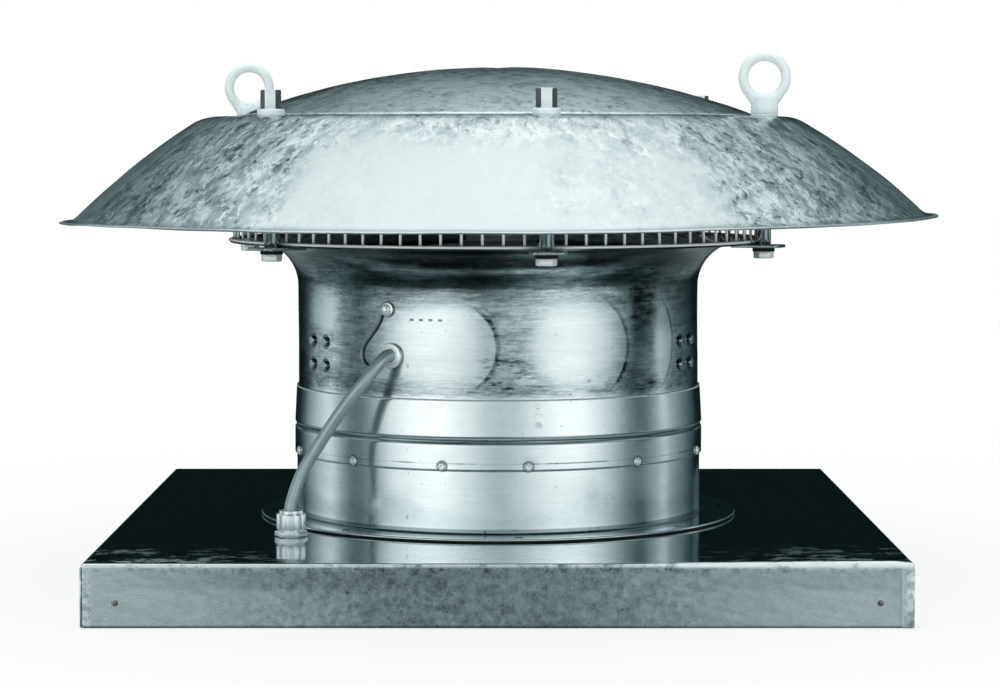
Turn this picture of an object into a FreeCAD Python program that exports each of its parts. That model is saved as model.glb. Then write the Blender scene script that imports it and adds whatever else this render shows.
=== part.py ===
"""Roof-mounted exhaust hood fan: square curb cap, riveted sheet-steel casing with a flared outlet,
axial impeller on a vertical motor, wire bird guard and a spun mushroom hood on six long bolts.

Millimetres.  +Z up, origin at the centre of the base on the plane of the skirt's bottom edges.
-Y is the front; the cable gland and the cable entry lie to the left (-X) of its middle.
Azimuths are degrees from the front (-Y) towards +X.
"""
import FreeCAD, Part
import math
import os
from FreeCAD import Vector

os.makedirs("parts", exist_ok=True)

# ---------------------------------------------------------------- driving dimensions
BASE_W = 823.0            # square base over the corner tabs
BASE_H = 64.0             # skirt height
SHEET = 2.0               # sheet thickness
TAB_T, TAB_W = 1.5, 13.0  # corner tabs
CURB_HOLE_X = 377.0       # skirt fixing holes, +- from the middle of a side
CURB_HOLE_Z = 25.0
CURB_HOLE_R = 3.25
SEAL_T = 6.0              # foam curb seal
SEAL_OUT, SEAL_IN = 404.0, 345.0

GASKET_T = 1.5
FLANGE_R = 265.6          # collar flange
FLANGE_SCREW_CIRCLE = 251.0
FLANGE_SCREW_AZ = [5.0 + 45 * k for k in range(8)]
M6_CLEAR_R = 3.2
COLLAR_RO = 225.6         # inlet collar outside radius
COLLAR_TOP = 142.0
BAND_RI = 225.8           # middle band, tapering in to the outlet casing at its top
BAND_RT = 223.8           # inside radius at the top edge
BAND_Z0, BAND_Z1 = 133.2, 208.5
GROOVE_Z, GROOVE_H, GROOVE_D = 165.0, 3.6, 1.5   # rolled groove: height, half width, depth
RIVET_Z = 138.6
RIVET_AZ = [-42.7, -15.0, 8.1, 40.7, 74.0, 104.0, 134.0, 164.0, 194.0, 224.0, 256.0, 286.0]
CASING_RO = 223.6         # outlet casing
CASING_Z0 = 195.0
FLARE_R = 48.0
TOP_FLANGE_R = 298.6
TOP_FLANGE_Z = 369.0      # top face of the casing flange

POST_CIRCLE = 307.0       # circle of the six hood bolts
POST_AZ = [9.2 + 60 * k for k in range(6)]
BOLT_R = 5.9              # hood bolt shank

HOOD_T = 2.0
SHELF_Z = 505.4           # top of the hood shelf
SHELF_RI = 264.0
HOOD_SPH_R = 657.0        # outside sphere of the hood shroud
HOOD_SPH_Z = -63.3        # height of its centre
LIP_R = 484.8
LIP_Z0, LIP_Z1 = 390.2, 393.7
CROWN_SPH_R = 800.0
CROWN_TOP = 560.0
CROWN_EDGE_R = 286.0

GUARD_R = 297.0           # centreline of the ring wires
WIRE_R = 1.5
GUARD_WIRES = 86
GUARD_WIRE_AZ0 = 1.1
GUARD_RINGS = 7

ARM_AZ = [-59.9, 66.0, 183.0]   # motor support arms
ARM_Z = 250.0
ARM_BOLT_DZ = 12.75       # arm bolts, +- from the middle of the foot
ARM_BOLT_DT = 14.8
FOOT_T = 4.0              # arm foot against the casing wall

EYE_R, EYE_WIRE = 23.0, 5.2
EYE_Z = {1: 546.8, 4: 540.0}     # post number: eye centre of the right and the left eye nut

CABLE_R = 6.5
GLAND = Vector(-218.0, -208.0, 0)
ENTRY_AZ, ENTRY_Z = -30.0, 252.6
EARTH_AZ, EARTH_Z = -31.3, 301.6

ORIGIN = Vector(0, 0, 0)
UP = Vector(0, 0, 1)
FORWARD = Vector(0, -1, 0)


# ---------------------------------------------------------------- helpers
def radial(azimuth):
    t = math.radians(azimuth)
    return Vector(math.sin(t), -math.cos(t), 0)


def polar(azimuth, r, z):
    t = math.radians(azimuth)
    return Vector(r * math.sin(t), -r * math.cos(t), z)


def circle(azimuths, r, z):
    return [polar(azimuth, r, z) for azimuth in azimuths]


def at(point, z):
    return Vector(point.x, point.y, z)


def cylinder(radius, height, base=ORIGIN, axis=UP):
    return Part.makeCylinder(radius, height, base, axis)


def cylinders(radius, height, bases, axis=UP):
    return [cylinder(radius, height, base, axis) for base in bases]


def tube(outer_r, inner_r, z0, z1, centre=ORIGIN):
    bore = cylinder(inner_r, z1 - z0 + 2, at(centre, z0 - 1))
    return cylinder(outer_r, z1 - z0, at(centre, z0)).cut(bore)


def box(x0, y0, z0, x1, y1, z1):
    return Part.makeBox(x1 - x0, y1 - y0, z1 - z0, Vector(x0, y0, z0))


def square(half, z0, z1):
    return box(-half, -half, z0, half, half, z1)


def revolve(start, *steps):
    """Solid of revolution about Z from a closed outline.

    A step (r, z) is a straight line to that point; (r_mid, z_mid, r, z) is an arc
    through the first point to the second.
    """
    first = here = Vector(start[0], 0, start[1])
    edges = []
    for step in steps:
        end = Vector(step[-2], 0, step[-1])
        if len(step) == 2:
            edges.append(Part.makeLine(here, end))
        else:
            edges.append(Part.Arc(here, Vector(step[0], 0, step[1]), end).toShape())
        here = end
    edges.append(Part.makeLine(here, first))
    solid = Part.Face(Part.Wire(edges)).revolve(ORIGIN, UP, 360)
    # the direction of the outline decides which way round the solid comes out
    if solid.Volume < 0:
        solid.reverse()
    return solid


def bulge_arc(start, end, bulge):
    """Arc step for revolve(), bulging to the left of the way from start to end."""
    dr, dz = end[0] - start[0], end[1] - start[1]
    length = math.hypot(dr, dz)
    return ((start[0] + end[0]) / 2 - dz / length * bulge,
            (start[1] + end[1]) / 2 + dr / length * bulge, *end)


def sphere_z(r, sphere_r, centre_z):
    return centre_z + math.sqrt(sphere_r * sphere_r - r * r)


def hexagon(across_flats, height, base, angle=0.0):
    r = across_flats / 2 / math.cos(math.pi / 6)
    turns = [math.radians(angle + 60 * k) for k in range(7)]
    points = [Vector(base.x + r * math.cos(t), base.y + r * math.sin(t), base.z) for t in turns]
    return Part.Face(Part.makePolygon(points)).extrude(Vector(0, 0, height))


def nut_hexagon(across_flats, height, base, angle=0.0, top=True, bottom=False):
    """Hexagon whose corners are turned off by a cone at the top or bottom, as on a real nut."""
    flat_r = across_flats / 2
    corner_r = flat_r / math.cos(math.pi / 6)
    face_r, clear_r = flat_r * 0.985, corner_r + 0.3
    drop = (corner_r - flat_r) * math.tan(math.radians(30)) + 0.25
    z0, z1 = base.z, base.z + height
    outline = [(0, z0)]
    outline += [(face_r, z0), (clear_r, z0 + drop)] if bottom else [(clear_r, z0)]
    outline += [(clear_r, z1 - drop), (face_r, z1)] if top else [(clear_r, z1)]
    outline.append((0, z1))
    points = [Vector(base.x + r, base.y, z) for r, z in outline]
    face = Part.Face(Part.makePolygon(points + [points[0]]))
    return hexagon(across_flats, height, base, angle).common(face.revolve(at(base, 0), UP, 360))


def round_head(radius, height, base, axis, fillet):
    """Screw head along axis with a rounded outer rim."""
    head = cylinder(radius, height, base, axis)
    end = base + axis * height
    rim = [e for e in head.Edges if e.Length > 20 and (e.BoundBox.Center - end).Length < 0.5]
    return head.makeFillet(fillet, rim)


def edges_where(shape, test):
    """Edges whose bounding box passes the test."""
    return [e for e in shape.Edges if test(e.BoundBox)]


def level_edges(shape, z):
    """Flat edges lying at height z."""
    return edges_where(shape, lambda b: b.ZLength < 1e-6 and abs(b.ZMin - z) < 1e-6)


def turned(shape, angle):
    copy = shape.copy()
    copy.rotate(ORIGIN, UP, angle)
    return copy


def largest(shape):
    return max(shape.Solids, key=lambda s: s.Volume)


def join(shapes):
    return shapes[0].multiFuse(shapes[1:])


def fuse(*shapes):
    solid = join(shapes)
    # merging coplanar faces is only a tidy-up: if it fails, the plain union is kept
    try:
        solid = solid.removeSplitter()
    except Exception:
        pass
    return solid


def save(name, shapes):
    """Write one shape, or a list of shapes, as parts/name.step."""
    if not isinstance(shapes, list):
        shapes = [shapes]
    found = [solid for shape in shapes for solid in shape.Solids]
    for solid in found:
        if solid.Volume < 0:
            solid.reverse()
        if not solid.isValid():
            solid.fix(1e-5, 1e-5, 1e-4)
    result = found[0] if len(found) == 1 else Part.makeCompound(found)
    result.exportStep("parts/%s.step" % name)


# ---------------------------------------------------------------- base
SKIRT = BASE_W / 2 - TAB_T       # outside of the skirts, from the centre
DECK_UNDER = BASE_H - SHEET
GLAND_HOLE_R = 12.6


def base_pan():
    outer = square(SKIRT, 0, BASE_H)
    outer = outer.makeFillet(2.2, level_edges(outer, BASE_H))
    inner = square(SKIRT - SHEET, -1, DECK_UNDER)
    inner = inner.makeFillet(0.6, level_edges(inner, DECK_UNDER))
    hole_z = BASE_H - 5
    holes = [cylinder(COLLAR_RO - SHEET + 1.0, 10, Vector(0, 0, hole_z)),
             cylinder(GLAND_HOLE_R, 10, at(GLAND, hole_z))]
    holes += cylinders(M6_CLEAR_R, 10, circle(FLANGE_SCREW_AZ, FLANGE_SCREW_CIRCLE, hole_z))
    reach = SKIRT + 10
    for side in (-1, 1):
        x = side * CURB_HOLE_X
        for start, axis in ((Vector(x, -reach, CURB_HOLE_Z), Vector(0, 1, 0)),
                            (Vector(-reach, x, CURB_HOLE_Z), Vector(1, 0, 0))):
            holes.append(cylinder(CURB_HOLE_R, 2 * reach, start, axis))
    return outer.cut(inner).cut(join(holes))


def corner_tabs():
    x0 = SKIRT - TAB_W
    tab = box(x0, -SKIRT - TAB_T, 1.0, SKIRT, -SKIRT, BASE_H - 4.5)
    ends = edges_where(tab, lambda b: b.ZLength < 1e-6 and b.YLength > 1 and b.XMax < x0 + 0.1)
    tab = tab.makeFillet(1.2, ends)
    return [turned(tab, 90 * k) for k in range(4)]


save("base_pan", base_pan())
save("corner_tabs", corner_tabs())
save("curb_seal", square(SEAL_OUT, DECK_UNDER - SEAL_T, DECK_UNDER).cut(
    square(SEAL_IN, 0, BASE_H)))

# ---------------------------------------------------------------- collar and its flange screws
FLANGE_Z0 = BASE_H + GASKET_T
FLANGE_Z1 = FLANGE_Z0 + SHEET
COLLAR_RI = COLLAR_RO - SHEET
BAND_RO = BAND_RI + SHEET
SCREW_R, SCREW_HEAD_R, SCREW_HEAD_H = 2.95, 4.6, 1.65
FLANGE_NUT_H = 5.0
RIVET_R, RIVET_HOLE_R = 2.0, 2.05
RIVET_INSET = 0.15        # rivet end, outwards from the collar's inside face

flange_holes = join(cylinders(
    M6_CLEAR_R, 20, circle(FLANGE_SCREW_AZ, FLANGE_SCREW_CIRCLE, BASE_H - 5)))
rivet_holes = join([cylinder(RIVET_HOLE_R, 12, polar(a, COLLAR_RI - 4, RIVET_Z), radial(a))
                    for a in RIVET_AZ])
head_seats = circle(FLANGE_SCREW_AZ, FLANGE_SCREW_CIRCLE, FLANGE_Z1 - SCREW_HEAD_H)


def inlet_collar():
    collar = revolve(
        (COLLAR_RI, FLANGE_Z0), (FLANGE_R, FLANGE_Z0), (FLANGE_R, FLANGE_Z1),
        (COLLAR_RO + 4.0, FLANGE_Z1),
        (COLLAR_RO + 1.17, FLANGE_Z1 + 1.17, COLLAR_RO, FLANGE_Z1 + 4.0),
        (COLLAR_RO, COLLAR_TOP), (COLLAR_RI, COLLAR_TOP))
    countersinks = join([Part.makeCone(2.99, 4.7, 1.7, seat) for seat in head_seats])
    return collar.cut(flange_holes).cut(rivet_holes).cut(countersinks)


def flange_screw(seat):
    """Countersunk screw with a hexagon socket; seat is the foot of its head."""
    end_z = DECK_UNDER - 6.8
    head = Part.makeCone(SCREW_R, SCREW_HEAD_R, SCREW_HEAD_H, seat)
    head = head.cut(hexagon(3.0, 3, at(seat, FLANGE_Z1 - 1.1), 10))
    return fuse(head, cylinder(SCREW_R, seat.z - end_z, at(seat, end_z)))


def flange_nut(seat, angle):
    nut = nut_hexagon(10, FLANGE_NUT_H, at(seat, DECK_UNDER - FLANGE_NUT_H), angle,
                      top=False, bottom=True)
    return nut.cut(cylinder(3.0, 12, at(seat, BASE_H - 12)))


save("flange_gasket",
     tube(FLANGE_R - 1.0, COLLAR_RO + 0.6, BASE_H, FLANGE_Z0).cut(flange_holes))
save("inlet_collar", inlet_collar())
save("flange_screws", [flange_screw(seat) for seat in head_seats])
save("flange_nuts", [flange_nut(seat, 45 * k) for k, seat in enumerate(head_seats)])


# ---------------------------------------------------------------- band and lap rivets
def lap_rivet(azimuth, band):
    def along(r):
        return polar(azimuth, r, RIVET_Z)

    axis = radial(azimuth)
    shank = cylinder(RIVET_R, BAND_RO - COLLAR_RI - RIVET_INSET,
                     along(COLLAR_RI + RIVET_INSET), axis)
    head = Part.makeCone(5.2, 3.0, 2.5, along(BAND_RO - 0.1), axis)
    rivet = fuse(shank, head.cut(cylinder(1.3, 3, along(BAND_RO + 1.4), axis)))
    # the undrilled band trims the underside of the head to its curve
    return largest(rivet.cut(band))


casing_band = revolve(
    (BAND_RI, BAND_Z0), (BAND_RO, BAND_Z0), (BAND_RO, GROOVE_Z - GROOVE_H),
    (BAND_RO - GROOVE_D, GROOVE_Z, BAND_RO, GROOVE_Z + GROOVE_H),
    (BAND_RT + SHEET, BAND_Z1), (BAND_RT, BAND_Z1),
    (BAND_RI - 0.02, GROOVE_Z + GROOVE_H + 1.5),
    (BAND_RI - GROOVE_D, GROOVE_Z, BAND_RI, GROOVE_Z - GROOVE_H - 1.5))
save("lap_rivets", [lap_rivet(azimuth, casing_band) for azimuth in RIVET_AZ])
save("casing_band", casing_band.cut(rivet_holes))

# ---------------------------------------------------------------- outlet casing
CASING_RI = CASING_RO - SHEET
FLARE_C = (CASING_RO + FLARE_R, TOP_FLANGE_Z - SHEET - FLARE_R)   # centre of the flare arcs
FOOT_RI = CASING_RI - FOOT_T

arm_bolt_lines = []       # (point on the plane through the axis, outward direction)
for azimuth in ARM_AZ:
    out = radial(azimuth)
    tangent = Vector(-out.y, out.x, 0)
    for side in (-1, 1):
        for level in (-1, 1):
            middle = Vector(0, 0, ARM_Z + level * ARM_BOLT_DZ) + tangent * (side * ARM_BOLT_DT)
            arm_bolt_lines.append((middle, out))

wall_holes = join(
    [cylinder(M6_CLEAR_R, 30, middle + out * (CASING_RO - 20), out)
     for middle, out in arm_bolt_lines]
    + [cylinder(9.0, 30, polar(ENTRY_AZ, CASING_RO - 15, ENTRY_Z), radial(ENTRY_AZ)),
       cylinder(3.05, 30, polar(EARTH_AZ, CASING_RO - 15, EARTH_Z), radial(EARTH_AZ))])


def outlet_casing():
    r, z = FLARE_C
    outer_mid = FLARE_R * math.sqrt(0.5)
    inner_mid = (FLARE_R + SHEET) * math.sqrt(0.5)
    return revolve(
        (CASING_RI, CASING_Z0), (CASING_RO, CASING_Z0), (CASING_RO, z),
        (r - outer_mid, z + outer_mid, r, TOP_FLANGE_Z - SHEET),
        (TOP_FLANGE_R, TOP_FLANGE_Z - SHEET), (TOP_FLANGE_R, TOP_FLANGE_Z), (r, TOP_FLANGE_Z),
        (r - inner_mid, z + inner_mid, CASING_RI, z)).cut(wall_holes)


save("outlet_casing", outlet_casing())

# ---------------------------------------------------------------- motor support
MOUNT_Z0, MOUNT_Z1 = 229.0, 235.0
QUARTERS = [45 + 90 * k for k in range(4)]
MOTOR_BOLT_CIRCLE = 64.0  # bolts through the mount ring into the lower end shield
TIE_CIRCLE = 77.0
WEB_HALF_T = 2.5
FOOT_HALF_W = 26

mount_ring = tube(105.0, 50.0, MOUNT_Z0, MOUNT_Z1)
save("motor_mount_ring", mount_ring.cut(join(
    cylinders(3.3, 10, circle(QUARTERS, MOTOR_BOLT_CIRCLE, MOUNT_Z0 - 2)))))


def support_arm(azimuth):
    """Web from the mount ring to a foot that follows the casing wall."""
    inside_wall = cylinder(CASING_RI, 200, Vector(0, 0, 150))
    inside_foot = cylinder(FOOT_RI, 200, Vector(0, 0, 150))
    foot = box(-FOOT_HALF_W, -222.0, ARM_Z - 26, FOOT_HALF_W, -200.0, ARM_Z + 26)
    foot = foot.common(inside_wall).cut(inside_foot)
    above_ring = box(-WEB_HALF_T, -217.0, MOUNT_Z1, WEB_HALF_T, -89.0, 275.0)
    beside_ring = box(-WEB_HALF_T, -217.0, 226.0, WEB_HALF_T, -106.0, 240.0)
    web = fuse(above_ring, beside_ring).common(inside_foot)
    notch = box(-2.6, -150.0, 262.0, 2.6, -110.0, 290.0)
    return turned(fuse(foot, web).cut(notch), azimuth).cut(wall_holes)


# where the bolt lines, offset sideways, meet the casing wall and the inside of the foot
WALL_REACH = math.sqrt(CASING_RO ** 2 - ARM_BOLT_DT ** 2)
FOOT_REACH = math.sqrt(FOOT_RI ** 2 - ARM_BOLT_DT ** 2)


def arm_bolt(middle, out):
    head = round_head(5.2, 5.4, middle + out * (WALL_REACH - 2.0), out, fillet=1.6)
    # the underside is trimmed to the casing wall
    head = largest(head.cut(cylinder(CASING_RO, 60, Vector(0, 0, ARM_Z - 30))))
    start = FOOT_REACH - 9.5
    return fuse(head, cylinder(3.0, WALL_REACH + 1.0 - start, middle + out * start, out))


def arm_nut(middle, out):
    nut = cylinder(5.5, 8.0, middle + out * (FOOT_REACH - 6.5), out)
    nut = nut.common(cylinder(FOOT_RI, 80, Vector(0, 0, ARM_Z - 40)))
    return largest(nut.cut(cylinder(3.05, 30, middle + out * (FOOT_REACH - 15), out)))


save("support_arms", [support_arm(azimuth) for azimuth in ARM_AZ])
save("arm_bolts", [arm_bolt(*line) for line in arm_bolt_lines])
save("arm_nuts", [arm_nut(*line) for line in arm_bolt_lines])

# ---------------------------------------------------------------- motor
MOTOR_Z0, MOTOR_Z1 = 245.0, 354.0    # housing
SHELL_RO, SHELL_RI = 72.0, 66.0
FIN_R = 84.0
CORE_Z0, CORE_Z1 = 275.0, 328.0      # stator and rotor laminations
BEARING_LO, BEARING_HI = 248.0, 340.0    # lower faces of the bearings
BEARING_RO, BEARING_RI, BEARING_W = 23.5, 10.0, 14.0
SHIELD_R = 82.0
SPIGOT_R = 65.9                      # end shields' fit in the housing
CAP_Z0 = MOTOR_Z1 + 14.0
TBOX_Z = 314.0                       # terminal box: middle height, then half sizes
TBOX_HALF_W, TBOX_HALF_H = 25.0, 29.0
TBOX_WALL = 3.5
TBOX_FRONT = 122.0                   # distance of its open face from the motor axis
COVER_T = 4.0
COVER_HALF_W, COVER_HALF_H = TBOX_HALF_W + 1, TBOX_HALF_H + 1
TBOX_SCREWS = [(x, TBOX_Z + dz) for x in (-18.5, 18.5) for dz in (-22.5, 22.5)]


def azimuth_gap(a, b):
    return abs(((a - b + 180) % 360) - 180)


def motor_housing():
    """Finned shell, bare beside the tie bolts and the terminal box pad."""
    fins = []
    for azimuth in range(0, 360, 10):
        if min(azimuth_gap(azimuth, quarter) for quarter in QUARTERS) < 8:
            continue
        if azimuth_gap(azimuth, ENTRY_AZ) < 24:
            continue
        fin = box(-1.3, -FIN_R, MOTOR_Z0 + 3, 1.3, -SHELL_RO + 1, MOTOR_Z1 - 3)
        fins.append(turned(fin, azimuth))
    housing = tube(SHELL_RO, SHELL_RI, MOTOR_Z0, MOTOR_Z1).multiFuse(fins)
    pad = box(-COVER_HALF_W, -FIN_R, TBOX_Z - COVER_HALF_H,
              COVER_HALF_W, -70.0, TBOX_Z + COVER_HALF_H)
    pad = turned(pad, ENTRY_AZ).cut(cylinder(SHELL_RI, 200, Vector(0, 0, 240)))
    tie_holes = cylinders(2.6, 200, circle(QUARTERS, TIE_CIRCLE, 220))
    return housing.fuse(pad).cut(join(tie_holes))


def winding(z0, z1, far_z):
    """End winding, rounded on the face away from the core."""
    coil = tube(60.0, 43.0, z0, z1)
    return coil.makeFillet(5.0, level_edges(coil, far_z))


def lower_end_shield():
    seat_z = BEARING_LO + BEARING_W + 1
    shield = revolve(
        (BEARING_RO, BEARING_LO), (BEARING_RO, seat_z), (31.0, seat_z), (34.0, MOTOR_Z0 + 1),
        (SPIGOT_R, MOTOR_Z0 + 1), (SPIGOT_R, MOTOR_Z0), (SHIELD_R, MOTOR_Z0),
        (SHIELD_R, MOUNT_Z1 + 2), (SHIELD_R - 2, MOUNT_Z1), (49.9, MOUNT_Z1),
        (49.9, 230.0), (14.0, 230.0), (14.0, BEARING_LO))
    bolt_holes = cylinders(3.05, 9.0, circle(QUARTERS, MOTOR_BOLT_CIRCLE, MOUNT_Z1 - 0.1))
    tie_holes = cylinders(2.55, 40, circle(QUARTERS, TIE_CIRCLE, 220))
    return shield.cut(fuse(*bolt_holes, *tie_holes))


def upper_end_shield():
    seat_z = BEARING_HI + BEARING_W + 0.5
    shield = revolve(
        (0, MOTOR_Z1 + 2.0), (13.5, MOTOR_Z1 + 2.0), (13.5, seat_z), (BEARING_RO, seat_z),
        (BEARING_RO, BEARING_HI), (31.0, BEARING_HI), (34.0, MOTOR_Z1 - 1),
        (SPIGOT_R, MOTOR_Z1 - 1), (SPIGOT_R, MOTOR_Z1), (SHIELD_R, MOTOR_Z1),
        (SHIELD_R, MOTOR_Z1 + 5), (80.0, MOTOR_Z1 + 7.4, 76.0, MOTOR_Z1 + 8.5),
        (42.0, MOTOR_Z1 + 11.0), (38.0, CAP_Z0), (0, CAP_Z0))
    tie_holes = cylinders(2.55, 60, circle(QUARTERS, TIE_CIRCLE, MOTOR_Z1 - 30))
    head_pockets = cylinders(5.0, 20, circle(QUARTERS, TIE_CIRCLE, MOTOR_Z1 + 5))
    return shield.cut(fuse(*tie_holes, *head_pockets))


def tie_bolt(azimuth):
    foot, seat = circle([azimuth], TIE_CIRCLE, 236.5)[0], MOTOR_Z1 + 5
    return fuse(cylinder(2.5, seat - foot.z, foot), nut_hexagon(8, 3.5, at(foot, seat), 15))


def hex_bolt(length, head_h, seat):
    """Upright M6 bolt whose head hangs below the seat point."""
    head = nut_hexagon(10, head_h, at(seat, seat.z - head_h), 15, top=False, bottom=True)
    return fuse(cylinder(3.0, length, seat), head)


def terminal_box():
    """Open-fronted box on the housing pad, turned to face the cable entry."""
    body = box(-TBOX_HALF_W, -TBOX_FRONT, TBOX_Z - TBOX_HALF_H,
               TBOX_HALF_W, -FIN_R, TBOX_Z + TBOX_HALF_H)
    depth = TBOX_FRONT - FIN_R
    body = body.makeFillet(5.0, edges_where(body, lambda b: abs(b.YLength - depth) < 1e-6))
    half_w, half_h = TBOX_HALF_W - TBOX_WALL, TBOX_HALF_H - TBOX_WALL
    hollow = box(-half_w, -130.0, TBOX_Z - half_h, half_w, -88.0, TBOX_Z + half_h)
    body = body.cut(hollow).cut(cylinder(7.0, 10, Vector(0, -104.0, 282.0)))
    pillars = [cylinder(4.0, 34.0, Vector(x, -88.0, z), FORWARD) for x, z in TBOX_SCREWS]
    return turned(fuse(body, *pillars), ENTRY_AZ)


def terminal_box_cover():
    face = TBOX_FRONT + COVER_T
    cover = box(-COVER_HALF_W, -face, TBOX_Z - COVER_HALF_H,
                COVER_HALF_W, -TBOX_FRONT, TBOX_Z + COVER_HALF_H)
    cover = cover.makeFillet(5.0, edges_where(cover, lambda b: abs(b.YLength - COVER_T) < 1e-6))
    cover = cover.makeFillet(1.0, edges_where(
        cover, lambda b: b.YLength < 1e-6 and abs(b.YMin + face) < 1e-6))
    for x, z in TBOX_SCREWS:
        cover = cover.fuse(cylinder(3.6, 2.0, Vector(x, -face, z), FORWARD))
    return turned(cover.removeSplitter(), ENTRY_AZ)


save("motor_housing", motor_housing())
save("stator_core", tube(SHELL_RI, 40.0, CORE_Z0, CORE_Z1))
save("stator_windings", [winding(259.0, CORE_Z0, 259.0), winding(CORE_Z1, 342.0, 342.0)])
save("lower_end_shield", lower_end_shield())
save("upper_end_shield", upper_end_shield())
save("motor_top_cap", revolve(
    (0, CAP_Z0), (36.0, CAP_Z0), (36.0, CAP_Z0 + 10.0),
    (34.24, CAP_Z0 + 14.24, 30.0, CAP_Z0 + 16.0), (0, CAP_Z0 + 16.0)))
save("tie_bolts", [tie_bolt(azimuth) for azimuth in QUARTERS])
save("motor_flange_bolts", [
    hex_bolt(14.0, 4.0, seat) for seat in circle(QUARTERS, MOTOR_BOLT_CIRCLE, MOUNT_Z0)])
save("terminal_box", terminal_box())
save("terminal_box_cover", terminal_box_cover())

# ---------------------------------------------------------------- rotor and bearings
SHAFT_Z0 = 161.0
SHAFT_R = 9.5
ROTOR_R = 13.0            # shaft radius under the rotor core
END_RING_H = 7.0
KEY_Z0, KEY_Z1 = 168.0, 204.0
KEY_DEPTH_R, KEY_TOP_R = 6.0, 12.3   # key faces, from the shaft axis
BALL_R, PITCH_R, BALLS = 3.97, 16.75, 8


def key_block(reach, z0):
    return box(-3.0, -reach, z0, 3.0, -KEY_DEPTH_R, KEY_Z1)


def rotor_shaft():
    top = BEARING_HI + BEARING_W
    shaft = revolve(
        (0, SHAFT_Z0), (9.0, SHAFT_Z0), (SHAFT_R, SHAFT_Z0 + 0.5), (SHAFT_R, 247.0),
        (BEARING_RI, 247.0), (BEARING_RI, 262.5), (ROTOR_R, 262.5),
        (ROTOR_R, BEARING_HI - 0.5), (BEARING_RI, BEARING_HI - 0.5),
        (BEARING_RI, top), (9.0, top + 1.0), (0, top + 1.0))
    bolt_hole = cylinder(3.0, 20.0, Vector(0, 0, SHAFT_Z0 - 0.1))
    return shaft.cut(key_block(SHAFT_R + 0.1, KEY_Z0)).cut(bolt_hole)


def save_bearing(name, z0):
    """Grooved outer and inner rings, balls and a pocketed cage."""
    z1, middle = z0 + BEARING_W, z0 + BEARING_W / 2
    groove = Part.makeTorus(PITCH_R, BALL_R + 0.03, Vector(0, 0, middle), UP)
    save(name + "_outer", tube(BEARING_RO, 19.6, z0, z1).cut(groove))
    save(name + "_inner", tube(13.9, BEARING_RI, z0, z1).cut(groove))
    turns = [2 * math.pi * k / BALLS for k in range(BALLS)]
    centres = [Vector(PITCH_R * math.cos(t), PITCH_R * math.sin(t), middle) for t in turns]
    balls = [Part.makeSphere(BALL_R, centre) for centre in centres]
    pockets = [Part.makeSphere(BALL_R + 0.06, centre) for centre in centres]
    cage = tube(18.6, 14.9, middle - 2.6, middle + 2.6).cut(join(pockets))
    save(name + "_balls", balls + [cage])


save("rotor_shaft", rotor_shaft())
save("shaft_key", key_block(KEY_TOP_R, KEY_Z0))
save("rotor_core", fuse(tube(39.5, ROTOR_R, CORE_Z0, CORE_Z1),
                        tube(37.0, 24.0, CORE_Z0 - END_RING_H, CORE_Z0),
                        tube(37.0, 24.0, CORE_Z1, CORE_Z1 + END_RING_H)))
save_bearing("lower_bearing", BEARING_LO)
save_bearing("upper_bearing", BEARING_HI)
save("shaft_seal", revolve(
    (SHAFT_R, 220.5), (17.0, 220.5), (17.0, 223.0), (13.5, 225.0), (18.5, 229.6),
    (15.5, 229.8), (11.0, 226.5), (SHAFT_R, 226.5)))

# ---------------------------------------------------------------- impeller
HUB_R = 60.0
TIP_R = 216.0
BLADES = 7
BLADE_Z = 181.0           # height of the middle of each chord
BLADE_SWEEP = 0.10        # chordwise shift per unit of radius
SECTION_POINTS = 9
# radius, pitch from the plane of rotation, chord, camber / chord, thickness
BLADE_SECTIONS = [
    (56.0, 44.0, 82.0, 0.07, 7.5),
    (105.0, 34.0, 98.0, 0.055, 6.0),
    (160.0, 27.0, 112.0, 0.045, 5.0),
    (222.0, 22.0, 122.0, 0.035, 4.2),
]


def impeller_hub():
    hub_z0, boss_z0 = 154.0, 160.0
    hub = revolve(
        (SHAFT_R, boss_z0), (21.0, boss_z0), (21.0, 178.0), (55.0, 178.0), (55.0, hub_z0 + 2),
        (57.0, hub_z0), (HUB_R, hub_z0), (HUB_R, 208.0), (HUB_R - 2.0, 212.0, HUB_R - 6.0, 214.0),
        (50.0, 214.0), (50.0, 184.0), (21.0, 184.0), (21.0, 210.0), (SHAFT_R, 210.0))
    hub = hub.cut(key_block(KEY_TOP_R, boss_z0 - 1))
    rib = box(-2.0, -55.5, 166.0, 2.0, -20.5, 178.5)
    return fuse(hub, *[turned(rib, 360.0 / BLADES * k + 12) for k in range(BLADES)])


def blade_section(r, pitch, chord, camber, thickness):
    """Closed aerofoil wire in the plane x = r."""
    p = math.radians(pitch)
    sweep = (r - BLADE_SECTIONS[0][0]) * BLADE_SWEEP
    upper, lower = [], []
    for i in range(SECTION_POINTS):
        u = i / (SECTION_POINTS - 1.0)
        along = (u - 0.5) * chord + sweep
        if u < 0.6:
            fullness = math.sin(math.pi * (u + 0.08) / 0.75 * 0.5)
        else:
            fullness = math.cos(math.pi / 2 * (u - 0.6) / 0.42)
        half = thickness / 2 * (0.32 + 0.68 * fullness)
        for points, side in ((upper, 1), (lower, -1)):
            off = camber * chord * 4 * u * (1 - u) + side * half
            points.append(Vector(r, along * math.cos(p) - off * math.sin(p),
                                 BLADE_Z + along * math.sin(p) + off * math.cos(p)))
    upper_curve = Part.BSplineCurve()
    upper_curve.interpolate(upper)
    lower_curve = Part.BSplineCurve()
    lower_curve.interpolate(list(reversed(lower)))
    return Part.Wire([upper_curve.toShape(), Part.makeLine(upper[-1], lower[-1]),
                      lower_curve.toShape(), Part.makeLine(lower[0], upper[0])])


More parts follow.
